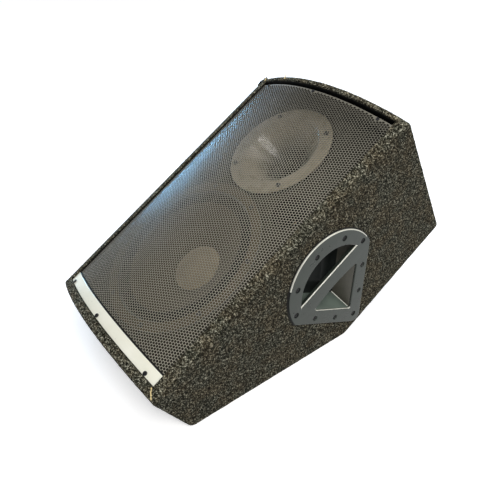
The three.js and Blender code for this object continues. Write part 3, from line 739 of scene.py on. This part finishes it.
def outline(x, distance, edge_steps):
    """The rounded side outline at x, moved inwards, always with the same number of points."""
    radii = [max(r - distance, 0.4) for r in CORNER_ROUND]
    path = rounded(inset(side_corners(x), distance), radii, ARC_STEPS)
    dense = []
    for i, steps in enumerate(edge_steps):
        start, end = i * (ARC_STEPS + 1), (i + 1) * (ARC_STEPS + 1)
        arc, following = path[start:end], path[end % len(path)]
        dense += [arc, arc[-1] + (following - arc[-1]) * np.linspace(0, 1, steps + 1)[1:-1, None]]
    return np.concatenate(dense)


def carpeted_body():
    """The whole cabinet as its carpet shows it, with rounded edges and a slightly uneven face."""
    corners = np.array(side_corners(0))
    lengths = np.linalg.norm(np.roll(corners, -1, 0) - corners, axis=1)
    edge_steps = [max(int(length / THREAD_STEP), 2) for length in lengths]
    flat = HALF - EDGE_ROUND
    turns = [math.radians(a) for a in (20, 40, 60, 75, 90)]
    turn = [(flat + EDGE_ROUND * math.sin(a), EDGE_ROUND * (1 - math.cos(a))) for a in turns]
    stations = [(-x, d) for x, d in turn[::-1]] + [(x, 0.0) for x in np.linspace(-flat, flat, 82)] + turn
    rings = [np.insert(outline(x, d, edge_steps), 0, x, axis=1) for x, d in stations]
    middle = np.array([HANDLE_Y, -HANDLE_CENTRE])
    shares = np.linspace(1, 0, 42)[1:-1]
    left, right = (
        [np.insert(middle + (ring[:, 1:] - middle) * share, 0, x, axis=1) for share in shares]
        for ring, x in ((rings[0], -HALF), (rings[-1], HALF)))
    points, faces = loft(left[::-1] + rings + right)
    return uneven(points), faces


def uneven(points, height=0.35, size=9.0):
    """Points pushed along the line from the cabinet's middle by a smooth noise."""
    out = points - (0, HANDLE_Y, -100.0)
    out /= np.linalg.norm(out, axis=1)[:, None]
    lumps = np.array([noise.noise(Vector(p) / size) for p in points])
    return points + out * (lumps[:, None] * height)


def opening_cutter(fold=3.0, count=61):
    """The front opening, flared where the pile folds over its edge, from levels of (grow, depth)."""
    flare = arc_section(fold, fold, fold, 180, 270, 4)
    rings = []
    for grow, drop in [(0, 100.0), (0, 8.0), *flare, (fold, -15.0)]:
        across = np.linspace(-OPENING_HALF - grow, OPENING_HALF + grow, count)
        low, high = (np.stack([across, np.full(count, y), bow(across) - drop], -1)
                     for y in (FRONT_LOW - grow, FRONT_HIGH + grow))
        rings.append(np.concatenate([low, high[::-1]]))
    points, faces = loft(rings, capped=False)
    for start, turn in ((0, -1), (len(points) - 2 * count, 1)):
        for i in range(count - 1):
            quad = [i, i + 1, 2 * count - 2 - i, 2 * count - 1 - i]
            faces.append([start + k for k in quad[::turn]])
    return points, faces


def arch(radius, centre, start, steps):
    """An arc over a handle's middle, whose ends are at an angle of start: (along the baffle, depth)."""
    angles = np.linspace(start, math.pi - start, steps)
    return np.stack([radius * np.cos(angles), centre - radius * np.sin(angles)], -1)


def handle_outline(radius, tip, steps=40):
    """Round above, with two straight sides down to a point: (along the baffle, depth)."""
    span, square = tip - HANDLE_CENTRE, HANDLE_SLOPE ** 2
    a, b, c = 1 + square, -2 * square * span, square * span ** 2 - radius ** 2
    down = (-b - math.sqrt(b * b - 4 * a * c)) / (2 * a)
    start = math.atan2(-down, HANDLE_SLOPE * (span - down))
    return np.concatenate([arch(radius, HANDLE_CENTRE, start, steps), [(0.0, tip)]])


def on_side(points2, x):
    """Points (along, depth) of the handle, placed in the cabinet at x."""
    points2 = np.asarray(points2, float)
    return np.stack([np.full(len(points2), float(x)), HANDLE_Y + points2[:, 0], -points2[:, 1]], -1)


def uncarpeted(at):
    """True for places over the front opening, the handles or the amplifier panel."""
    x, y, z = np.abs(at[:, 0]), at[:, 1], at[:, 2]
    in_front = (z > bow(x) - 3) & (x < OPENING_HALF + 3) & (y > FRONT_LOW - 3) & (y < FRONT_HIGH + 3)
    along = np.abs(y - HANDLE_Y)
    round_part = np.hypot(along, z + PLATE_CENTRE) < PLATE_RADIUS + 0.5
    point_part = (z < -PLATE_CENTRE) & (z > -285) & (along < (285 + z) * 0.70)
    on_handle = (x > HALF - 4.5) & (round_part | point_part)
    on_amp = (y > LENGTH - 12) & (x < AMP_HALF[0] + 2) & (np.abs(z + AMP_DEPTH) < AMP_HALF[1] + 2)
    return in_front | on_handle | on_amp


def carpets():
    body = carpeted_body()
    core = loft([[(x, y, z) for y, z in inset(side_corners(x), CARPET)]
                 for x in np.linspace(-HALF + CARPET - 0.2, HALF - CARPET + 0.2, 60)])
    cup_outline = handle_outline(82, 235)
    cup_right = loft([on_side(cup_outline, x) for x in (160, 210)])
    w, h = AMP_HALF[0] - 8, AMP_HALF[1] - 8
    amp = bar((-w, LENGTH - 50, -AMP_DEPTH - h), (w, LENGTH + 50, -AMP_DEPTH + h))
    cutters = (core, opening_cutter(), cup_right, moved(cup_right, MIRROR), amp)
    shell = carved(body, *[("DIFFERENCE", cutter) for cutter in cutters])
    seam = HALF - 2.85
    for name, node, x0, x1 in (
            ("carpet_wrap_pile", "carpet_wrap", -seam, seam),
            ("carpet_side_pile_right", "carpet_side_right", seam, 260),
            ("carpet_side_pile_left", "carpet_side_left", -260, -seam)):
        zone = bar((x0, -50, -400), (x1, 700, 100))
        piece(name, carved(shell, ("INTERSECT", zone)), "carpet", stands_for=[node], level=True)
    fibres(body)


def fibres(body, count=42000):
    """Loose ends of the pile: short bent ribbons lying on the carpet, in the heather's colours."""
    rng = np.random.default_rng(7)
    points, quads = body[0], np.array(body[1][:-2])
    a, b, c, d = np.moveaxis(points[quads], 1, 0)
    normal = np.cross(c - a, d - b)
    area = np.linalg.norm(normal, axis=1)
    keep = area > 1e-6
    quads, normal, area = quads[keep], normal[keep], area[keep]
    chosen = rng.choice(len(quads), count, p=area / area.sum())
    s, t = rng.random((2, count, 1))
    a, b, c, d = np.moveaxis(points[quads[chosen]], 1, 0)
    at = (a * (1 - s) + b * s) * (1 - t) + (d * (1 - s) + c * s) * t
    up = normal[chosen] / area[chosen, None]
    up *= np.sign(np.sum(up * (at - (0, 300, -100)), 1))[:, None]
    free = ~uncarpeted(at)
    at, up = at[free], up[free]
    count = len(at)
    across = np.cross(up, rng.normal(size=(count, 3)))
    across /= np.linalg.norm(across, axis=1)[:, None]
    along = np.cross(across, up)
    length = rng.uniform(1.8, 5.0, (count, 1))
    width = rng.uniform(0.16, 0.34, (count, 1))
    height = rng.uniform(0.15, 0.75, (count, 1)) + (rng.random((count, 1)) < 0.06) * 0.9
    bend = rng.normal(0, 0.25, (count, 1)) * length
    rows = []
    for share, rise in ((-0.5, -0.15), (0.0, 1.0), (0.5, 0.35)):
        centre = at + along * length * share + up * (height * rise) + across * bend * (share ** 2 * 4)
        rows += [centre - across * width, centre + across * width]
    ribbon = np.stack(rows, 1)
    shade = rng.choice(len(FIBRES), count, p=[share for _, share, _ in FIBRES])
    materials = [plain_fibre(f"fibre_{name}", colour) for name, _, colour in FIBRES]
    quad = np.array([[0, 1, 3, 2], [2, 3, 5, 4]])
    sides = {"right": at[:, 0] > HALF - 4, "left": at[:, 0] < 4 - HALF, "wrap": np.abs(at[:, 0]) <= HALF - 4}
    for name, here in sides.items():
        mine = ribbon[here]
        faces = (quad[None] + 6 * np.arange(len(mine))[:, None, None]).reshape(-1, 4)
        ob = piece(f"carpet_fibres_{name}", (mine.reshape(-1, 3), faces.tolist()), "carpet",
                   finish=materials[0], tidy=False, level=True)
        paint(ob, materials[1:], np.repeat(shade[here], 2))


# ---- grille, name strip and their screws ------------------------------------------------------

FOLD_RADIUS = 2.2
COLUMN = HOLE_PITCH * math.cos(math.radians(30))        # from one row of holes to the next
CELL = circle(HOLE_PITCH / math.sqrt(3), steps=6)       # the hexagon round a hole


def sheet_path(drop, folded):
    """Half of a bowed sheet's section: the distance from its middle, the points (x, z) and their normals."""
    across = np.linspace(0, GRILLE_HALF - (FOLD_RADIUS if folded else 0), 400)
    path = np.stack([across, bow(across) - drop], -1)
    slope = -2 * BOW * across / HALF ** 2
    normal = np.stack([-slope, np.ones_like(slope)], -1) / np.hypot(1, slope)[:, None]
    if folded:
        angles = np.linspace(math.atan2(normal[-1, 1], normal[-1, 0]), 0, 9)[1:]
        ray = np.stack([np.cos(angles), np.sin(angles)], -1)
        bend = path[-1] - normal[-1] * FOLD_RADIUS + ray * FOLD_RADIUS
        foot = [[bend[-1, 0], BAFFLE_Z + 0.3]]
        path, normal = np.concatenate([path, bend, foot]), np.concatenate([normal, ray, [[1.0, 0.0]]])
    run = np.concatenate([[0], np.cumsum(np.linalg.norm(np.diff(path, axis=0), axis=1))])
    return run, path, normal


def bent(shape, drop, folded):
    """A flat shape of (along the bow, y, height above the sheet's face), laid on the bowed sheet."""
    run, path, normal = sheet_path(drop, folded)
    s, y, height = np.asarray(shape[0], float).T
    x, z, nx, nz = (np.interp(np.abs(s), run, column) for column in (*path.T, *normal.T))
    return np.stack([np.sign(s) * (x + nx * height), y, z + nz * height], -1), shape[1]


def grille():
    """A perforated sheet: staggered round holes, plain margins, and sides folded back to the baffle."""
    run, path, _ = sheet_path(GRILLE_INSET, True)
    columns = int(np.interp(FIELD_HALF, path[:, 0], run) / COLUMN)
    centres = np.array([
        (i * COLUMN, y) for i in range(-columns, columns + 1)
        for y in np.arange(FIRST_HOLE + (i % 2) * HOLE_PITCH / 2, LAST_HOLE, HOLE_PITCH)
        if all(math.hypot(i * COLUMN - sx, y - sy) >= SCREW_CLEAR for sx, sy, _, _ in GRILLE_SCREWS)])
    bands = np.digitize(centres[:, 1], [219.0, 399.0])
    for band, name in enumerate(("low", "middle", "high")):
        mine = centres[bands == band]
        shape = perforated(mine)
        sheet = piece(f"grille_field_{name}", bent(shape, GRILLE_INSET, True), "grille_steel",
                      stands_for=["grille"], tidy=False)
        # Painted shade: the walls of the holes and the back of the sheet take the dark finish.
        painted = len(mine) * (HOLE_SIDES + 6)
        paint(sheet, [HOLE_SHADE], np.arange(len(shape[1])) >= painted)
    piece("grille_margin", bent(grille_margin(centres, run[-1]), GRILLE_INSET, True), "grille_steel",
          stands_for=["grille"], tidy=False)


def thick(front, triangles, walls):
    """A flat sheet's two faces, with the walls between them."""
    points = np.concatenate([np.insert(front, 2, z, axis=1) for z in (0.0, -SHEET)])
    return points, triangles.tolist() + (triangles[:, ::-1] + len(front)).tolist() + walls


def perforated(centres):
    """Hexagonal cells, each with a round hole, on both faces of the sheet and through it."""
    ring = circle(HOLE_RADIUS, steps=HOLE_SIDES, start=math.pi / HOLE_SIDES)
    corners = np.round((centres[:, None] + CELL).reshape(-1, 2), 3)
    corners, index = np.unique(corners, axis=0, return_inverse=True)
    index = index.reshape(-1, 6)
    front = np.concatenate([corners, (centres[:, None] + ring).reshape(-1, 2)])
    base = len(corners) + HOLE_SIDES * np.arange(len(centres))
    share = HOLE_SIDES // 6
    faces = []
    for k in range(6):
        hole = [base + (k * share + j - share // 2) % HOLE_SIDES for j in range(share + 1)]
        faces += [np.stack([index[:, k], hole[j + 1], hole[j]], -1) for j in range(share)]
        faces.append(np.stack([index[:, k], index[:, (k + 1) % 6], hole[-1]], -1))
    walls = []
    for k in range(HOLE_SIDES):
        a, b = base + k, base + (k + 1) % HOLE_SIDES
        walls.append(np.stack([a, b, b + len(front), a + len(front)], -1))
    return thick(front, np.concatenate(faces), np.concatenate(walls).tolist())


def grille_margin(centres, edge):
    """The plain border round the holes, out to the sheet's edges, and the rim between its two faces."""
    low, high = FRONT_LOW + 0.6, GRILLE_TOP
    inner = {}
    for centre in centres:
        hexagon = [tuple(corner) for corner in np.round(centre + CELL, 3)]
        for side in zip(hexagon, hexagon[1:] + hexagon[:1]):
            if inner.pop(side[::-1], None) is None:
                inner[side] = True
    sides, rising = np.linspace(-edge, edge, 121), np.linspace(low, high, 100)[1:-1]
    border = [(s, low) for s in sides] + [(edge, y) for y in rising] \
        + [(s, high) for s in sides[::-1]] + [(-edge, y) for y in rising[::-1]]
    number = {}
    for point in border + [end for side in inner for end in side]:
        number.setdefault(point, len(number))
    folds = [(s, y) for fold in np.linspace(edge - 12, edge, 7)[:-1]
             for y in np.linspace(low, high, 60)[1:-1] for s in (-fold, fold)]
    loop = [(number[a], number[b]) for a, b in zip(border, border[1:] + border[:1])]
    rim = [(number[a], number[b]) for a, b in inner]
    made, _, triangles, *_ = delaunay_2d_cdt([Vector(p) for p in (*number, *folds)], loop + rim, [], 0, 1e-4)
    made, triangles = np.array(made), np.array(triangles)

    nearest = KDTree(len(centres))
    for i, centre in enumerate(centres):
        nearest.insert((*centre, 0), i)
    nearest.balance()
    middle = made[triangles].mean(1)
    offset = np.abs(middle - centres[[nearest.find((*place, 0))[1] for place in middle]])
    in_cell = np.maximum(offset[:, 1], offset @ (COLUMN / HOLE_PITCH, 0.5)) < HOLE_PITCH / 2
    return thick(made, triangles[~in_cell], [[a, a + len(made), b + len(made), b] for a, b in loop])


def name_strip():
    """A satin strip over the foot of the grille, and behind it a black band that stands in for the shadow
    along the strip's upper edge, as a thin dark line.
    """
    start, over = STRIP_TOP - 0.4, STRIP_TOP + 3.2
    plate_section = rectangle(FRONT_LOW + 0.3, -STRIP_SHEET, STRIP_TOP, 0, 0.5, 3)
    shadow_section = rounded([(start, -0.5), (over, -0.9), (over, -STRIP_SHEET), (start, -STRIP_SHEET)], 0.2, 2)
    edge = sheet_path(STRIP_INSET, False)[0][-1]
    for name, section, count, slot, stands_for in (
            ("name_strip_plate", plate_section, 140, "strip_aluminium", ["name_strip"]),
            ("strip_shadow_line", shadow_section, 120, "rubber", ())):
        flat = loft([[(s, y, height) for y, height in section] for s in np.linspace(-edge, edge, count)])
        piece(name, bent(flat, STRIP_INSET, False), slot, stands_for=stands_for)


def strand(path, radius, turns=6):
    """A thin uneven strand through the given points."""
    path = np.array(path, float)
    rings = []
    for i, point in enumerate(path):
        ahead = path[min(i + 1, len(path) - 1)] - path[max(i - 1, 0)]
        ahead /= np.linalg.norm(ahead)
        across = np.cross(ahead, (0.0, 0.0, 1.0))
        across /= np.linalg.norm(across)
        up = np.cross(across, ahead)
        size = radius * (0.55 if i in (0, len(path) - 1) else 1 + 0.35 * math.sin(2.3 * i))
        rings.append([point + size * (a * across + b * up) for a, b in circle(1.0, steps=turns)])
    return loft(rings)


def seams():
    """Dried glue where the carpet's pieces meet at the front corners, and a frayed end of carpet."""
    beads = []
    for start, end, count, lift in (
            ((173.5, 15.5), (186, 3.5), 15, -0.2), ((-106, 601.5), (-99, 591), 10, 0.8),
            ((-183, 599), (-177, 590), 7, 0.6)):
        t = np.linspace(0, 1, count)
        x, y = np.outer(start, 1 - t) + np.outer(end, t) + (0.8 * np.sin(9 * t), 0.6 * np.cos(11 * t))
        beads.append(strand(np.stack([x, y, bow(x) + lift], -1), 1.0))
    piece("glue_seams", joined(*beads), "rubber", finish=moulded("dried_glue", (0.66, 0.52, 0.25), 0.45, 0.8))
    t = np.linspace(0, 1, 26)
    curl = np.stack([-191 - 8.5 * np.sin(2.0 * t) - np.sin(14 * t), 605 - 24 * t + 1.2 * np.cos(12 * t),
                     bow(193.0) - 2.5 - 3 * t], -1)
    piece("frayed_carpet_end", strand(curl, 2.6), "rubber",
          finish=moulded("frayed_fibre", (0.010, 0.010, 0.009), 0.9, 0.6, Specular_IOR_Level=0.05))


def front_screws():
    for row, screws in (("strip_screw", STRIP_SCREWS), ("grille_screw", GRILLE_SCREWS)):
        for i, (x, y, drop, radius) in enumerate(screws):
            lean = math.atan(2 * BOW * x / HALF ** 2)
            place = Matrix.Translation((x, y, float(bow(x)) - drop)) @ Matrix.Rotation(lean, 4, "Y") \
                @ Matrix.Rotation(0.6 * i + 0.3, 4, "Z")
            piece(f"{row}_head_{i + 1}", moved(cross_screw(radius), place), "screw_black",
                  stands_for=[f"{row}_{i + 1}"])


# ---- side handles -----------------------------------------------------------------------------

FACE_OUT = HALF + 3.8
TO_SIDE = Matrix(((0, 0, 1, 0), (1, 0, 0, HANDLE_Y), (0, -1, 0, 0), (0, 0, 0, 1)))
HANDLE_SCREWS = [(0, 50), (59, 70), (87.5, 114), (65, 162), (34, 209), (0, 249),
                 (-34, 209), (-65, 162), (-87.5, 114), (-59, 70)]


def plate_outline(scale, point, side_round, point_round):
    """The outline of a handle's plate: round above, with a point below."""
    round_top = arch(PLATE_RADIUS * scale, PLATE_CENTRE, 0, 61)
    return rounded([*round_top, (0, point)], [side_round, *[0] * 59, side_round, point_round], 8)


def handles():
    """A moulded plate with a grip bar across its recess, its cup, and ten screws."""
    rise = HANDLE_CENTRE - 111      # of the recess's middle over the grip's upper edge
    upper = arch(CUP_RADIUS, HANDLE_CENTRE, math.asin(rise / CUP_RADIUS), 48)
    sag = [(u, 139.5 + 5.5 * (u / 57) ** 2) for u in np.linspace(57, -57, 15)]
    lower = rounded([*sag, (0, CUP_POINT)], [3, *[0] * 13, 3, 2.5], 5)
    holes = [circle(4.6, place, 24) for place in HANDLE_SCREWS]
    face = plate([plate_outline(1.0, 281, 12, 14), upper, lower, *holes], HALF + 0.3, FACE_OUT, 1.7)
    reach = math.sqrt(CUP_RADIUS ** 2 - rise ** 2) + 1.0
    section = rounded([(109, 0), (138, 0), (138, -8.5), (110, -8.5)], [2.2, 0.4, 3, 1.5], 5)
    grip = loft([[(u, v, FACE_OUT + w) for v, w in section] for u in np.linspace(-reach, reach, 30)])
    moulding = moved(carved(face, ("UNION", grip)), TO_SIDE)
    for ob in pair("handle_moulding", moulding, "handle_plastic", "handle"):
        # Painted highlight on the rim and grip, painted shade on the sides and in the screw wells.
        paint(ob, [PALE_RUB_AND_HIGHLIGHT, SHADE_BLACK], [handle_rub_highlight_and_shade(face) for face in ob.data.polygons])
    # A dark ring round each plate that stands in for the shadow in the gap between plate and carpet.
    rings = [plate_outline(1.019, 284, 14, 16), plate_outline(0.96, 276, 12, 14)]
    pair("handle_shadow_ring", moved(plate(rings, HALF - 0.6, HALF + 1.5, 0.3), TO_SIDE), "rubber", level=True)
    cup()
    screws = joined(*[shifted(cross_screw(3.7, 2.0), u, v, FACE_OUT - 3.6) for u, v in HANDLE_SCREWS])
    pair("handle_screws", moved(screws, TO_SIDE), "screw_black", finish=PAINTED_SCREW)


def handle_rub_highlight_and_shade(face):
    """0 for the plain plate, 1 where its rim and grip are rubbed pale with a painted highlight, 2 for its
    sides and screw wells in painted shade.
    """
    x, y, z = face.center / MM
    u, v, out = y - HANDLE_Y, -z, abs(x) - HALF
    slanted = 0.2 < abs(face.normal.x) < 0.97 and out > 1.4
    on_rim = math.hypot(u, v - PLATE_CENTRE) > PLATE_RADIUS - 3 and v < (60 if u < 0 else 112)
    on_grip = abs(v - 109.5) < 2.2 and abs(u) < 74
    on_brace = abs((v - 139.5) * 57 - (u + 57) * 87.5) < 104.4 * 2.4 and u < 2 and v > 136
    if slanted and (((on_rim or on_grip) and face.normal.z > -0.4) or on_brace):
        return 1
    in_well = any(math.hypot(u - a, v - b) < 4.4 for a, b in HANDLE_SCREWS)
    on_side_face = abs(face.normal.x) < (0.3 if v < 60 else 0.75) and math.hypot(u, v - HANDLE_CENTRE) > 84
    return 2 if in_well or on_side_face else 0


def cup():
    """The recess: a round wall, two facets that slope in from the lower point, and a soft floor edge."""
    depth, facet, round_edge, wall = 52.0, 1.094, 9.0, 2.2
    top = HALF + 0.6

    def ring(at_depth, shrink, grow):
        tip = CUP_POINT - at_depth / facet + grow / math.sin(math.atan(HANDLE_SLOPE))
        return on_side(handle_outline(CUP_RADIUS - shrink + grow, tip - shrink, steps=64), top - at_depth)

    levels = [(d, 0.0) for d in np.linspace(0, depth - round_edge, 12)]
    levels += arc_section(depth - round_edge, round_edge, round_edge, -75, 0, 6)
    inner = [ring(d, shrink, 0) for d, shrink in levels]
    outer = [ring(d, shrink, wall) for d, shrink in levels[:-1]] + [ring(depth + wall, levels[-1][1], wall)]
    shape = loft(outer[::-1] + inner)
    for recess in pair("handle_recess", shape, "handle_plastic", "handle_cup", sharp=30.0):
        faces = recess.data.polygons
        sloped = [0.4 < abs(face.normal.x) < 0.9 and face.center.z < -150 * MM for face in faces]
        shaded_facet_side = [face.center.y >= HANDLE_Y * MM for face in faces]
        # Painted shade inside the recess, and painted light and shade on its two facets.
        paint(recess, [SHADE_BLACK, *FACET_LIGHT_AND_SHADE], np.where(sloped, np.where(shaded_facet_side, 3, 2), 1))
    bead = []
    for deep in np.linspace(2.5, 32.5, 12):
        tip = CUP_POINT - deep / facet - 0.4
        bead.append([(top - deep + 1.1 * a, HANDLE_Y + 1.1 * b, -tip) for a, b in circle(1.0, steps=8)])
    # The crease's bead takes the pale finish as a painted highlight along the mould line.
    pair("handle_crease", loft(bead), "handle_plastic", finish=PALE_RUB_AND_HIGHLIGHT)


# ---- drivers ----------------------------------------------------------------------------------

FLANGE_Z = BAFFLE_Z + 0.3       # foot of everything mounted on the baffle
WOOFER_RADIUS = 157.0
BOLT_CIRCLE = 148.5


def ring_of_screws(centre, places, radius, z):
    return joined(*[shifted(cross_screw(radius), centre[0] + x, centre[1] + y, z) for x, y in places])


def woofer():
    flange = rounded([(WOOFER_RADIUS, FLANGE_Z), (WOOFER_RADIUS, FLANGE_Z + 2.8), (138, FLANGE_Z + 2.8),
                      (136.5, -9.0), (139, -9.5), (142.5, FLANGE_Z)], 0.8, 3)
    dish = rounded([(36, -88), (83, -88), (85, -91), (36, -91)], 0.8, 2)
    legs = []
    for k in range(6):
        leg = loft([[(r - 1, -w, z), (r + 2, -w, z - 1), (r + 2, w, z - 1), (r - 1, w, z)]
                    for r, z, w in ((140, -7, 24), (122, -41, 20), (84, -90, 20))])
        turn = Matrix.Rotation(math.radians(60 * k + 30), 4, "Z")
        legs.append(moved(leg, Matrix.Translation((*WOOFER, 0)) @ turn))
    piece("woofer_frame", joined(lathe(flange, WOOFER, 160), lathe(dish, WOOFER, 96), *legs), "basket_steel",
          stands_for=["woofer_basket"])
    band = rectangle(139.5, FLANGE_Z + 3.1, WOOFER_RADIUS, FLANGE_Z + 6.1, 0.9, 4)
    piece("woofer_gasket_ring", lathe(band, WOOFER, 160), "rubber", stands_for=["woofer_gasket"],
          finish=moulded("gasket_board", (0.075, 0.060, 0.039), 0.7, 0.9, Specular_IOR_Level=0.15))
    bolts = circle(BOLT_CIRCLE, steps=8, start=math.pi / 8)
    piece("woofer_bolts", ring_of_screws(WOOFER, bolts, 4.4, FLANGE_Z + 6.0), "screw_black")

    surround()
    slant = [(116.5 - 90.3 * t, -9 - 63.84 * t + 2.2 * math.sin(math.pi * t)) for t in np.linspace(0, 1, 40)]
    ribs = [(r, z + 0.45 * max(0.0, math.cos((r - 60) * math.pi / 7)) * (60 < r < 104)) for r, z in slant]
    front = [(r, z + 0.9) for r, z in ribs]
    moving = {"body": "woofer_moving_parts", "sharp": 60.0}
    cone = lathe(front + ribs[::-1], WOOFER, 144)
    piece("woofer_cone_paper", cone, "cone_pulp", stands_for=["woofer_cone"], **moving)
    rim_z = -9 - 0.707 * (116.5 - 46) + 1.9
    dome = [(46 * math.sin(a), rim_z + 12.5 * math.cos(a)) for a in np.radians(np.linspace(0, 82, 16))]
    lip = [(46.5, rim_z + 1.2), (48.5, rim_z + 1.6), (48.5, rim_z + 0.6)]
    under = [(r, z - 0.8) for r, z in dome[::-1]]
    piece("dust_cap_dome", lathe([*dome, *lip, *under], WOOFER, 96), "cone_pulp", stands_for=["dust_cap"],
          finish=moulded("dust_cap_paper", (0.21, 0.17, 0.11), 0.6, 0.9, Specular_IOR_Level=0.2), **moving)


def surround():
    """The half roll between frame and cone, made in sectors."""
    inner, outer, foot, skin, sectors = 116.2, 138.2, -7.5, 1.1, 8
    middle, half = (inner + outer) / 2, (outer - inner) / 2 - 1.6
    over = [(outer, foot), *arc_section(middle, foot, half, 0, 180), (inner, foot - 0.8)]
    under = [(inner, foot - 0.8 - skin), *arc_section(middle, foot - 0.4, half - skin, 180, 0),
             (outer, foot - skin)]
    radius, z = np.array(over + under).T
    for k in range(sectors):
        mid = 2 * math.pi * (k + 0.5) / sectors
        rings = [np.stack([WOOFER[0] + radius * math.cos(a), WOOFER[1] + radius * math.sin(a), z], -1)
                 for a in np.linspace(mid - math.pi / sectors, mid + math.pi / sectors, 19)]
        ob = piece(f"woofer_surround_{k + 1}", loft(rings), "rubber", body=None,
                   stands_for=["woofer_surround"], sharp=60.0)
        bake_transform(ob)


def horn():
    face, flange, mouth, throat, end = FLANGE_Z + 4, 103.0, 78.0, 12.7, -95.0
    flare = [(throat + (mouth - throat) * t ** 1.5, end + (face - end) * t) for t in np.linspace(0, 1, 40)]
    flare[-1] = (mouth + 1.2, face - 0.3)
    lip = [(mouth + 2.5, face), (flange, face), (flange, FLANGE_Z), (82, FLANGE_Z)]
    lip = rounded(lip, 1.6, 4, closed=False)
    outside = [(r + 3, z) for r, z in flare[::-1] if end + 16 < z < FLANGE_Z - 4]
    shape = lathe([*flare, *lip, *outside, (22, end)], HORN, 144)
    piece("horn_moulding", shape, "horn_plastic", stands_for=["horn_flare"])
    # A black ring round the horn's flange that stands in for the shadow it casts on the baffle.
    band = rectangle(102, FLANGE_Z, 108, FLANGE_Z + 1, 0.3, 2)
    piece("horn_shadow_ring", lathe(band, HORN, 120), "rubber",
          finish=moulded("horn_shadow_ring_finish", (0.004, 0.004, 0.004), 0.8, 0.9, Specular_IOR_Level=0.05))
    places = [(x, y) for x in (-65, 65) for y in (-65, 65)]
    piece("horn_bolts", ring_of_screws(HORN, places, 4.4, face - 0.2), "screw_black")


def ports():
    bore, outer, lip = PORT_BORE, PORT_BORE + 2.5, FLANGE_Z + 1.6
    mouth = arc_section(bore + 3, lip - 3, 3, 180, 100, 7)
    profile = [(bore, -60), *mouth, (outer + 2.4, lip), (outer + 3, lip - 0.6), (outer + 3, FLANGE_Z),
               (outer, FLANGE_Z), (outer, -60)]
    pair("port_flare", lathe(profile, PORT, 72), "black_plastic", "port_tube",
         finish=moulded("port_black", (0.004, 0.004, 0.004), 0.6, 0.6, Specular_IOR_Level=0.1))


# ---- amplifier panel --------------------------------------------------------------------------

KNOBS = {"level": 62.0, "bass": 20.0, "treble": -22.0}
KNOB_Z = 48.0
PANEL_SCREWS = [(x, z) for z in (-88.5, 88.5) for x in (-143.5, -50, 50, 143.5)] + [(-145.5, 0), (143.5, 0)]


def panel_markings():
    """Pale painted scales round the knobs and rules round the two groups of connectors; no lettering."""
    marks = []
    for x in KNOBS.values():
        for k in range(11):
            tick = bar((-0.35, 0, 11.2), (0.35, 0.14, 14.2 if k % 5 == 0 else 13.0))
            turn = Matrix.Translation((x, 2.5, KNOB_Z)) @ Matrix.Rotation(math.radians(30 * k - 150), 4, "Y")
            marks.append(moved(tick, turn))
    left, right, rule = -45, 134, 0.6
    for low, high in ((-80, -32), (-28, 78)):
        for x0, z0, x1, z1 in ((left, low, right, low + rule), (left, high - rule, right, high),
                               (left, low, left + rule, high), (right - rule, low, right, high)):
            marks.append(bar((x0, 2.5, z0), (x1, 2.62, z1)))
    piece("panel_markings", joined(*marks), "panel_paint", place=AMP, tidy=False,
          finish=powder_coat("panel_ink", (0.55, 0.55, 0.52), 0.5))


def panel_screws():
    upright = Matrix.Rotation(-math.pi / 2, 4, "X")
    small = [(115 + a * 9.6, z + 1.5 + a * 13.4) for z in (48, -2) for a in (-1, 1)]
    kinds = ((PANEL_SCREWS, 3.3, 2.2, 2.6), (small, 1.9, 1.4, AMP_FACE + 2.2))
    heads = [moved(cross_screw(radius, height), Matrix.Translation((x, out, z)) @ upright)
             for places, radius, height, out in kinds for x, z in places]
    piece("panel_screw_heads", joined(*heads), "screw_black", place=AMP)


def knob_lines():
    """A pale line on top of each knob, which turns with it."""
    for name, x in KNOBS.items():
        line = bar((x - 0.6, AMP_FACE + 14.0, KNOB_Z + 0.8), (x + 0.6, AMP_FACE + 14.25, KNOB_Z + 5.3))
        piece(f"{name}_knob_line", line, "panel_paint", body=f"{name}_control", place=AMP, tidy=False,
              finish=powder_coat(f"{name}_line_paint", (0.62, 0.62, 0.58), 0.5))


def finished_cad():
    """The CAD's own nodes that stay in view or inside: a finish for each, and softened edges outside."""
    outside = {
        "heat_sink": 0.5, "input_socket": 0.4, "output_socket": 0.4, "input_latch": 0.3, "mains_inlet": 0.4,
        "fuse_drawer": 0.4, "switch_bezel": 0.4, "power_rocker": 0.5, "ground_lift_button": 0.4,
        "lamp_lens": 0.3, "amp_panel": 0.4, "level_knob": 0.4, "bass_knob": 0.4, "treble_knob": 0.4,
    }
    for name, node in frame["nodes"].items():
        for slot in node.material_slots:
            slot.material = FINISHES[SLOT_OF[name]]
        if name in outside:
            edges = node.modifiers.new("edges", "BEVEL")
            edges.width = outside[name] * MM
            edges.segments = 2
            edges.limit_method = "ANGLE"
            edges.angle_limit = math.radians(40)


# ---- assembly ---------------------------------------------------------------------------------

camera()
studio()
finished_cad()
carpets()
grille()
name_strip()
seams()
front_screws()
handles()
woofer()
horn()
ports()
panel_markings()
panel_screws()
knob_lines()
